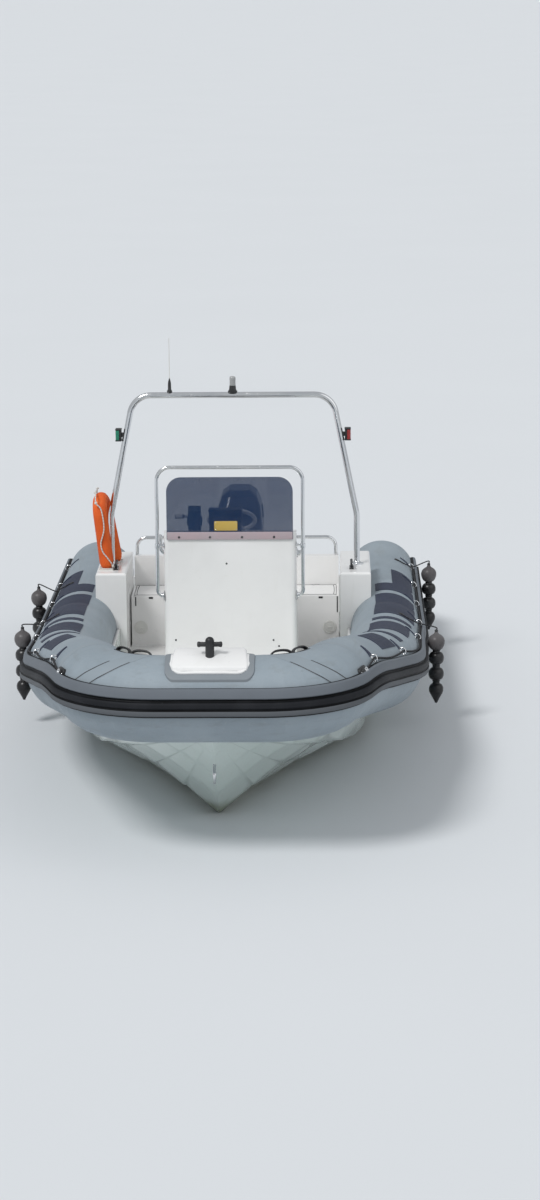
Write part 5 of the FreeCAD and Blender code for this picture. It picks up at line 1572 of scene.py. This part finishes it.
def lid_fittings(side, name):
    """Hinge leaves, latch and edge bead of one seat lid, all riding on it."""
    body = "seat_lid_" + name
    leaves, latch, bead = Form(), Form(), Form()
    middle = side * LID_MIDDLE
    for x in (middle - 0.20, middle + 0.20):
        leaves.block((x - 0.030, 1.744, LID_TOP - 0.0005), (x + 0.030, 1.760, LID_TOP + 0.0020),
                     0.0008, 1)
        for dx in (-0.021, 0, 0.021):
            leaves.turned([(0.0042, 0), (0.0036, 0.0014), (0.0018, 0.0022), (0, 0.0024)],
                          Matrix.Translation((x + dx, 1.752, LID_TOP + 0.0018)), 14)
    leaves.piece("lid_hinge_leaves_" + name, "stainless", body, sharp=40)
    at = facing_frame((middle, 1.425, LID_TOP), UP)
    latch.turned([(0.026, -0.001), (0.026, 0.0012), (0.0235, 0.0026), (0.019, 0.0026),
                  (0.018, 0.0008), (0.0, 0.0008)], at, 28)
    latch.block((-0.016, -0.003, 0.0006), (0.016, 0.003, 0.0042), 0.0012, 2, at)
    latch.piece("lid_latch_" + name, "chrome", body, sharp=35)
    inner, outer, fore, rear = 0.037, 0.696, 1.412, 1.742
    path = [Vector((side * x, y, LID_TOP)) for x, y in
            ((inner, fore), (outer, fore), (outer, rear), (inner, rear))]
    loop = []
    for a, b in zip(path, path[1:] + path[:1]):
        loop += [a.lerp(b, 0.06), a.lerp(b, 0.94)]
    bead.tube(smooth_path(loop, 5, closed=True), 0.0022, 6, closed=True)
    bead.piece("lid_bead_" + name, "trim", body, sharp=60)


bench_front()
lid_fittings(1, "port")
lid_fittings(-1, "starboard")


def pod_fittings():
    """Pods: gusset seam, screws, foot bolts of the A-frame and cleat bolts."""
    seams, heads, flange = Form(), [], Form()
    inner_face, pod_top = 0.7405, 0.858
    for side in (-1, 1):
        x = side * inner_face
        seams.tube([Vector((x, 1.02, 0.835)), Vector((x, 1.13, 0.62)), Vector((x, 1.06, 0.36))],
                   0.0022, 6)
        for y in (1.10, 1.36, 1.62):
            for z in (0.42, 0.80):
                heads.append(((side * (inner_face + 0.0013), y, z), (-side, 0, 0)))
        centre = Vector((side * 0.860, 1.31, pod_top))
        flange.turned([(0.0452, -0.003), (0.0452, 0.001), (0.034, 0.0035), (0.0235, 0.010),
                       (0.0212, 0.016), (0.0212, 0.001)], Matrix.Translation(centre), 28)
        for x_off, y_off in circle(0.0365, 4, math.radians(45)):
            heads.append((centre + Vector((x_off, y_off, 0.0022)), UP))
        for y in (1.1275, 1.1725, 1.1575):
            heads.append(((side * 0.8105, y, pod_top + 0.002), UP))
    seams.piece("pod_gusset_beads", "gelcoat", sharp=60)
    flange.piece("frame_foot_collars", "stainless", sharp=40)
    screws("pod_screws", heads, 0.0050, 0.0028)


pod_fittings()


def side_light(side, name, colour):
    """One side light: a black housing, open ahead and outboard, with a coloured lens."""
    low, high = box_of("nav_light_" + name)
    housing, lens_form = Form(), Form()
    inner, outer = (low.x, high.x) if side > 0 else (high.x, low.x)
    y, z = (low.y + high.y) / 2, (low.z + high.z) / 2

    def slab(first, last, near, far, bottom, top, edge):
        a, b = sorted((outer - side * first, outer - side * last))
        housing.block((a, y + near, z + bottom), (b, y + far, z + top), edge)

    slab(0.012, 0.042, -0.028, 0.033, -0.041, 0.041, 0.004)
    slab(0.001, 0.040, 0.012, 0.033, -0.041, 0.041, 0.004)
    slab(0.0, 0.044, -0.034, 0.034, 0.034, 0.043, 0.003)
    slab(0.0, 0.044, -0.034, 0.034, -0.043, -0.034, 0.003)
    slab(0.040, side * (outer - inner), -0.018, 0.018, -0.014, 0.014, 0.003)
    housing.piece("side_light_housing_" + name, "black", replaces=["nav_light_" + name],
                  sharp=35)
    outline = [(0.026, -0.032), (0.010, -0.031), (0.004, -0.026), (0.001, -0.014),
               (0.001, 0.013), (0.026, 0.013)]
    lens_form.plate([(-side * px, py) for px, py in outline], 0.069, 0.002,
                    Matrix.Translation((outer, y, z - 0.0345)))
    lens_form.piece("side_light_lens_" + name, colour, sharp=40)


def masthead_light():
    """The all-round light: black foot and a ribbed clear lens under a cap."""
    low, high = box_of("masthead_light")
    spot = Matrix.Translation(((low.x + high.x) / 2, (low.y + high.y) / 2, high.z))
    base, glass = Form(), Form()
    foot = low.z - high.z
    base.turned([(0.030, foot + 0.0005), (0.0325, foot + 0.003), (0.0325, foot + 0.012),
                 (0.026, foot + 0.016), (0.0235, foot + 0.030), (0.0235, -0.072),
                 (0.0208, -0.068), (0.0208, -0.062)], spot, 24)
    base.piece("masthead_base", "black", sharp=35)
    ribs = []
    for k in range(4):
        ribs += [(0.0214, -0.060 + 0.012 * k), (0.0200, -0.054 + 0.012 * k)]
    ribs[-1] = (0.0212, -0.012)
    glass.turned([(0.0208, -0.064)] + ribs + [(0.0200, -0.004), (0.0120, 0.001), (0, 0.0025)],
                 spot, 28)
    glass.piece("masthead_lens", "clear", sharp=50)


side_light(1, "port", "red")
side_light(-1, "starboard", "green")
masthead_light()


def aerial_parts():
    """The slim whip aerial on its ferrule."""
    low, high = box_of("antenna")
    tall = high.z - low.z
    spot = Matrix.Translation(((low.x + high.x) / 2, (low.y + high.y) / 2, low.z))
    whip, ferrule = Form(), Form()
    ferrule.turned([(0.016, 0.0), (0.018, 0.002), (0.018, 0.014), (0.012, 0.022), (0.011, 0.064),
                    (0.0085, 0.080), (0.0050, 0.092), (0.0040, 0.100)], spot, 22)
    ferrule.piece("aerial_ferrule", "black", sharp=40)
    whip.turned([(0.0034, 0.090), (0.0032, 0.200), (0.0026, tall - 0.060),
                 (0.0024, tall - 0.006), (0.0030, tall - 0.004), (0.0026, tall), (0, tall)],
                spot, 12)
    whip.piece("aerial_whip", "white", replaces=["antenna"], sharp=40)


aerial_parts()


BUOY_FEET = (Vector((-0.882, 1.160, 0.860)), Vector((-0.838, 1.402, 0.860)))
BUOY_BENDS = (Vector((-0.936, 1.170, 1.322)), Vector((-0.922, 1.405, 1.322)))
BUOY_RADIUS = 0.048
BEND_RADIUS = 0.112
BUOY_FACE = Vector((-0.98, 0.03, 0.2)).normalized()


def buoy_line():
    """The buoy's middle line from one foot over the two bends to the other."""
    points = [BUOY_FEET[0]]
    corners = (BUOY_FEET[0], *BUOY_BENDS, BUOY_FEET[1])
    for before, turn, after in zip(corners, corners[1:], corners[2:]):
        a, b = (before - turn).normalized(), (after - turn).normalized()
        opening = a.angle(b)
        trim = BEND_RADIUS / math.tan(opening / 2)
        middle = turn + (a + b).normalized() * (BEND_RADIUS / math.sin(opening / 2))
        start, end = turn + a * trim - middle, turn + b * trim - middle
        points += [middle + start.lerp(end, k / 10).normalized() * BEND_RADIUS
                   for k in range(11)]
    return subdivided(points + [BUOY_FEET[1]], 0.02)


def buoy_sides(line):
    """The way to the buoy's outer side, square to its line, at each point."""
    return [(BUOY_FACE - ahead * BUOY_FACE.dot(ahead)).normalized() for ahead in headings(line)]


def buoy_cover_piece(line):
    """The padded cover: drawn in at its ends and seams, and faintly creased."""
    cover, rows, here = Form(), [], 0.0
    total = sum((b - a).length for a, b in zip(line, line[1:]))
    for i, (p, ahead, side) in enumerate(zip(line, headings(line), buoy_sides(line))):
        if i:
            here += (p - line[i - 1]).length
        rise = ahead.cross(side)
        end = min(here, total - here)
        puff = 1.0 - 0.32 * max(0.0, 1 - end / 0.045) ** 2
        puff *= 1.0 + 0.014 * math.sin(here * 62.0)
        row = []
        for x, y in circle(1.0, 28):
            a = math.atan2(y, x)
            seam = 0.016 * max(0.0, math.cos(2 * a)) ** 24
            crease = 0.006 * math.sin(5 * a + here * 40.0)
            row.append(p + (side * x + rise * y) * (BUOY_RADIUS * (puff - seam + crease)))
        rows.append(cover.ring_of(row))
    faces = cover.bridge(rows)
    for row, p in ((rows[0], line[0]), (rows[-1], line[-1])):
        tip = cover.bm.verts.new(p)
        faces += [cover.bm.faces.new([a, b, tip]) for a, b in zip(row, row[1:] + row[:1])]
    bmesh.ops.recalc_face_normals(cover.bm, faces=faces)
    cover.piece("buoy_cover", "buoy", replaces=["lifebuoy"], sharp=70)


def buoy_piping(line):
    piping = Form()
    for out in (0.985, -0.985):
        path = [p + side * (out * BUOY_RADIUS) for p, side in zip(line, buoy_sides(line))]
        piping.tube(path[2:-2], 0.0026, 6)
    piping.piece("buoy_piping", "buoy", sharp=60)


def buoy_grab_line():
    """The white line up the buoy's front, over its top and down its rear, with its knots."""
    grab, ties, front = Form(), Form(), []
    # Heights of the line on the front leg, and how far it wanders towards the middle
    for z, away in ((0.878, 0.040), (0.902, 0.031), (0.940, 0.012), (0.983, -0.011),
                    (1.036, -0.016), (1.090, 0.000), (1.137, 0.0134), (1.204, 0.0175),
                    (1.285, 0.012), (1.325, -0.014)):
        share = (z - BUOY_FEET[0].z) / (BUOY_BENDS[0].z - BUOY_FEET[0].z)
        turn = math.asin(away / 0.0485)
        reach = BUOY_RADIUS + 0.0048 + (0.004 if 0.95 < z < 1.25 else 0.0)
        front.append(BUOY_FEET[0].lerp(BUOY_BENDS[0], share)
                     + Vector((math.sin(turn), -math.cos(turn), 0)) * reach)
    over = [Vector((-0.955, 1.150, 1.374)), Vector((-0.962, 1.200, 1.386)),
            Vector((-0.960, 1.285, 1.382)), Vector((-0.958, 1.370, 1.386)),
            Vector((-0.966, 1.425, 1.345))]
    rear = []
    for z in (1.250, 1.130, 1.010, 0.900):
        share = (z - BUOY_FEET[1].z) / (BUOY_BENDS[1].z - BUOY_FEET[1].z)
        rear.append(BUOY_FEET[1].lerp(BUOY_BENDS[1], share) + Vector((-0.050, 0.020, 0)))
    grab.tube(smooth_path(front + over + rear, 6), 0.0046, 8)
    grab.piece("buoy_grab_line", "white_rope", sharp=60)
    for spot, way in ((front[0], (0.6, -0.8, 0)), (front[-1], (-0.3, -0.9, 0.3)),
                      (over[1], (-0.2, 0, 1)), (over[3], (-0.2, 0, 1)), (rear[-1], (-1, 0.4, 0))):
        ties.turned([(0, -0.008), (0.0085, -0.006), (0.0110, 0.0), (0.0085, 0.006), (0, 0.008)],
                    facing_frame(spot, way), 14)
    ties.piece("buoy_line_knots", "tape_white", sharp=60)


def buoy_dressing():
    line = buoy_line()
    buoy_cover_piece(line)
    buoy_piping(line)
    buoy_grab_line()


buoy_dressing()


def buoy_bracket_dressing():
    """Rims of the two cups that hold the buoy's feet, and the screws of their bases."""
    form, heads = Form(), []
    for x, y, _ in BUOY_FEET:
        form.tube([Vector((x + dx, y + dy, 0.8625)) for dx, dy in circle(0.052, 36)], 0.0028, 6,
                  closed=True)
        heads += [((x + dx, y + dy, 0.858), (0, 0, 1)) for dx in (-0.050, 0.037)
                  for dy in (-0.046, 0.046)]
    form.piece("buoy_cup_rims", "white", sharp=60)
    screws("buoy_cup_screws", heads, 0.0042, 0.0024)


buoy_bracket_dressing()


# Engine: trim of the cowl, bolts of clamp and leg, ring of the propeller
STEER_Y = 2.66
SHAFT_Z = -0.575


def cowl_outline(z, grow=0.0):
    """Points round the cowl at a height, found on its own surface."""
    points = []
    centre = Vector((0, STEER_Y + 0.105, z))
    for x, y in circle(1.0, 72):
        way = Vector((x, y, 0))
        hit = COWL_SKIN.ray_cast(centre + way * 0.6, -way, 0.7)
        if hit[0]:
            points.append(hit[0] + way * grow)
    return points


def side_hit(side, y, z):
    """Point and facing of the engine's skin as met square from one side."""
    return COWL_SKIN.ray_cast(Vector((side * 0.4, y, z)), Vector((-side, 0, 0)), 0.5)


COWL_SKIN = joined_tree(["engine_cowl", "engine_leg"])


def cowl_trim():
    """Seams round the cowl, its vents, and the latches in front and behind."""
    bands, vents, latch = Form(), Form(), Form()
    for z, radius in ((0.566, 0.0052), (0.600, 0.0022), (0.862, 0.0020)):
        bands.tube(cowl_outline(z, -0.0008), radius, 8, closed=True)
    bands.piece("cowl_seams", "trim", "outboard", sharp=60)
    for side in (-1, 1):
        for k in range(6):
            hit = side_hit(side, STEER_Y + 0.240, 0.905 + 0.016 * k)
            if hit[0]:
                vents.block((-0.060, -0.0042, -0.003), (0.060, 0.0042, 0.0036), 0.0018, 2,
                            facing_frame(hit[0], (side, 0, 0.25)))
    vents.piece("cowl_vents", "black", "outboard", sharp=40)
    # End of the cowl, plate's width, height and corner, handle's half width, half height, rise
    for way, wide, tall, corner, half, low, rise in (
            (-1, 0.080, 0.044, 0.010, 0.026, 0.010, 0.022),
            (1, 0.110, 0.040, 0.012, 0.040, 0.009, 0.020)):
        start = Vector((0, STEER_Y + way * 0.9, 0.590))
        hit = COWL_SKIN.ray_cast(start, Vector((0, -way, 0)), 0.9)
        if hit[0]:
            spot = facing_frame(hit[0], (0, way, 0))
            latch.plate(rounded_outline(wide, tall, corner), 0.008, 0.003, spot)
            latch.block((-half, -low, 0.006), (half, low, rise), 0.004, 2, spot)
    latch.piece("cowl_latches", "black", "outboard", sharp=40)


cowl_trim()


def clamp_fittings():
    """Bolts of the clamp on the transom, the nuts of its pivot and the rod behind it."""
    heads, nuts = [], Form()
    for side in (-1, 1):
        x = side * 0.100
        heads += [((x, 2.4598, z), (0, -1, 0)) for z in (0.300, 0.370)]
        heads += [((x, 2.584, z), (0, 1, 0)) for z in (-0.06, 0.06, 0.20)]
    screws("clamp_bolts", heads, 0.0115, 0.0075, "stainless")
    for side in (-1, 1):
        nuts.turned([(0.023, -0.003), (0.023, 0.005), (0.019, 0.009), (0.010, 0.010), (0, 0.010)],
                    facing_frame((side * 0.120, 2.520, 0.405), (side, 0, 0)), 6)
    nuts.turned([(0.0, -0.12), (0.0095, -0.119), (0.0095, 0.119), (0.0, 0.12)],
                facing_frame((0, 2.562, 0.300), (1, 0, 0)), 16)
    nuts.piece("clamp_nuts", "stainless", sharp=35)


clamp_fittings()


def leg_fittings():
    """Water inlets of the gearcase, and the bolts of gearcase and leg."""
    inlets, heads = Form(), []
    column_y = STEER_Y + 0.058
    bolts = [(0.030, -0.330), (0.180, -0.330), (0.020, -0.500), (0.190, -0.500)]
    bolts += [(0.06, 0.30), (0.18, 0.30), (0.06, 0.10), (0.18, 0.10)]
    for side in (-1, 1):
        for k in range(5):
            hit = side_hit(side, column_y + 0.075, -0.405 - 0.017 * k)
            if hit[0]:
                inlets.block((-0.024, -0.003, -0.002), (0.024, 0.003, 0.0022), 0.001, 1,
                             facing_frame(hit[0], hit[1]))
        hits = [side_hit(side, column_y + y, z) for y, z in bolts]
        heads += [(hit[0], hit[1]) for hit in hits if hit[0]]
    inlets.piece("leg_inlets", "black", "outboard", sharp=40)
    screws("leg_bolts", heads, 0.0075, 0.0045, "stainless", "outboard")


leg_fittings()


def propeller_parts():
    """The ring round the rear of the hub, turning with the propeller."""
    form = Form()
    at = facing_frame((0, box_of("propeller")[1].y - 0.004, SHAFT_Z), (0, 1, 0))
    form.turned([(0.056, -0.003), (0.0575, 0.001), (0.0540, 0.0045), (0.0490, 0.0050),
                 (0.0470, 0.0020)], at, 36)
    form.piece("propeller_ring", "black", "propeller", sharp=40)


propeller_parts()


# Camera, floor and light
camera_data = bpy.data.cameras.new("camera")
camera_data.lens = 90
camera_data.sensor_width = 36
camera_data.clip_end = 2000
camera = bpy.data.objects.new("camera", camera_data)
camera.location = CAMERA_EYE
look = (Matrix.Rotation(math.radians(1.17), 3, "Z") @ Matrix.Rotation(math.radians(77.96), 3, "X")
        @ Matrix.Rotation(math.radians(-0.45), 3, "Z"))
camera.rotation_euler = look.to_euler()
scene.collection.objects.link(camera)
scene.camera = camera


def floor():
    f = Finish("floor", roughness=0.9, specular_ior_level=0.1)
    cloud = f.noise(0.35, 3.0, 0.5)
    f.set("Base Color", f.mix(cloud, (0.72, 0.74, 0.76), (0.74, 0.76, 0.78)))
    mesh = bpy.data.meshes.new("floor")
    half = 900
    mesh.from_pydata([(-half, -half, 0), (half, -half, 0), (half, half, 0), (-half, half, 0)],
                     [], [(0, 1, 2, 3)])
    mesh.materials.append(f.material)
    plane = bpy.data.objects.new("floor", mesh)
    scene.collection.objects.link(plane)


def lamp(name, strength, spread, rise, azimuth):
    """A sun lamp at a height and an azimuth counted from the bow towards starboard."""
    data = bpy.data.lights.new(name, "SUN")
    data.energy = strength
    data.angle = math.radians(spread)
    made = bpy.data.objects.new(name, data)
    up, turn = math.radians(rise), math.radians(azimuth)
    towards = Vector((-math.sin(turn) * math.cos(up), -math.cos(turn) * math.cos(up), math.sin(up)))
    made.rotation_euler = towards.to_track_quat("Z", "Y").to_euler()
    scene.collection.objects.link(made)


floor()
lamp("key", 1.7, 16, 50, 38)
lamp("fill", 0.45, 60, 35, -60)

world = bpy.data.worlds.new("studio")
world.use_nodes = True
tree = world.node_tree
background = tree.nodes["Background"]
background.inputs["Color"].default_value = (0.74, 0.77, 0.80, 1.0)
background.inputs["Strength"].default_value = 0.62
pale = tree.nodes.new("ShaderNodeBackground")
pale.inputs["Color"].default_value = (0.700, 0.730, 0.755, 1.0)
pale.inputs["Strength"].default_value = 1.0
rays = tree.nodes.new("ShaderNodeLightPath")
pick = tree.nodes.new("ShaderNodeMixShader")
tree.links.new(rays.outputs["Is Camera Ray"], pick.inputs[0])
tree.links.new(background.outputs[0], pick.inputs[1])
tree.links.new(pale.outputs[0], pick.inputs[2])
tree.links.new(pick.outputs[0], tree.nodes["World Output"].inputs["Surface"])
scene.world = world

scene.view_settings.view_transform = "Standard"
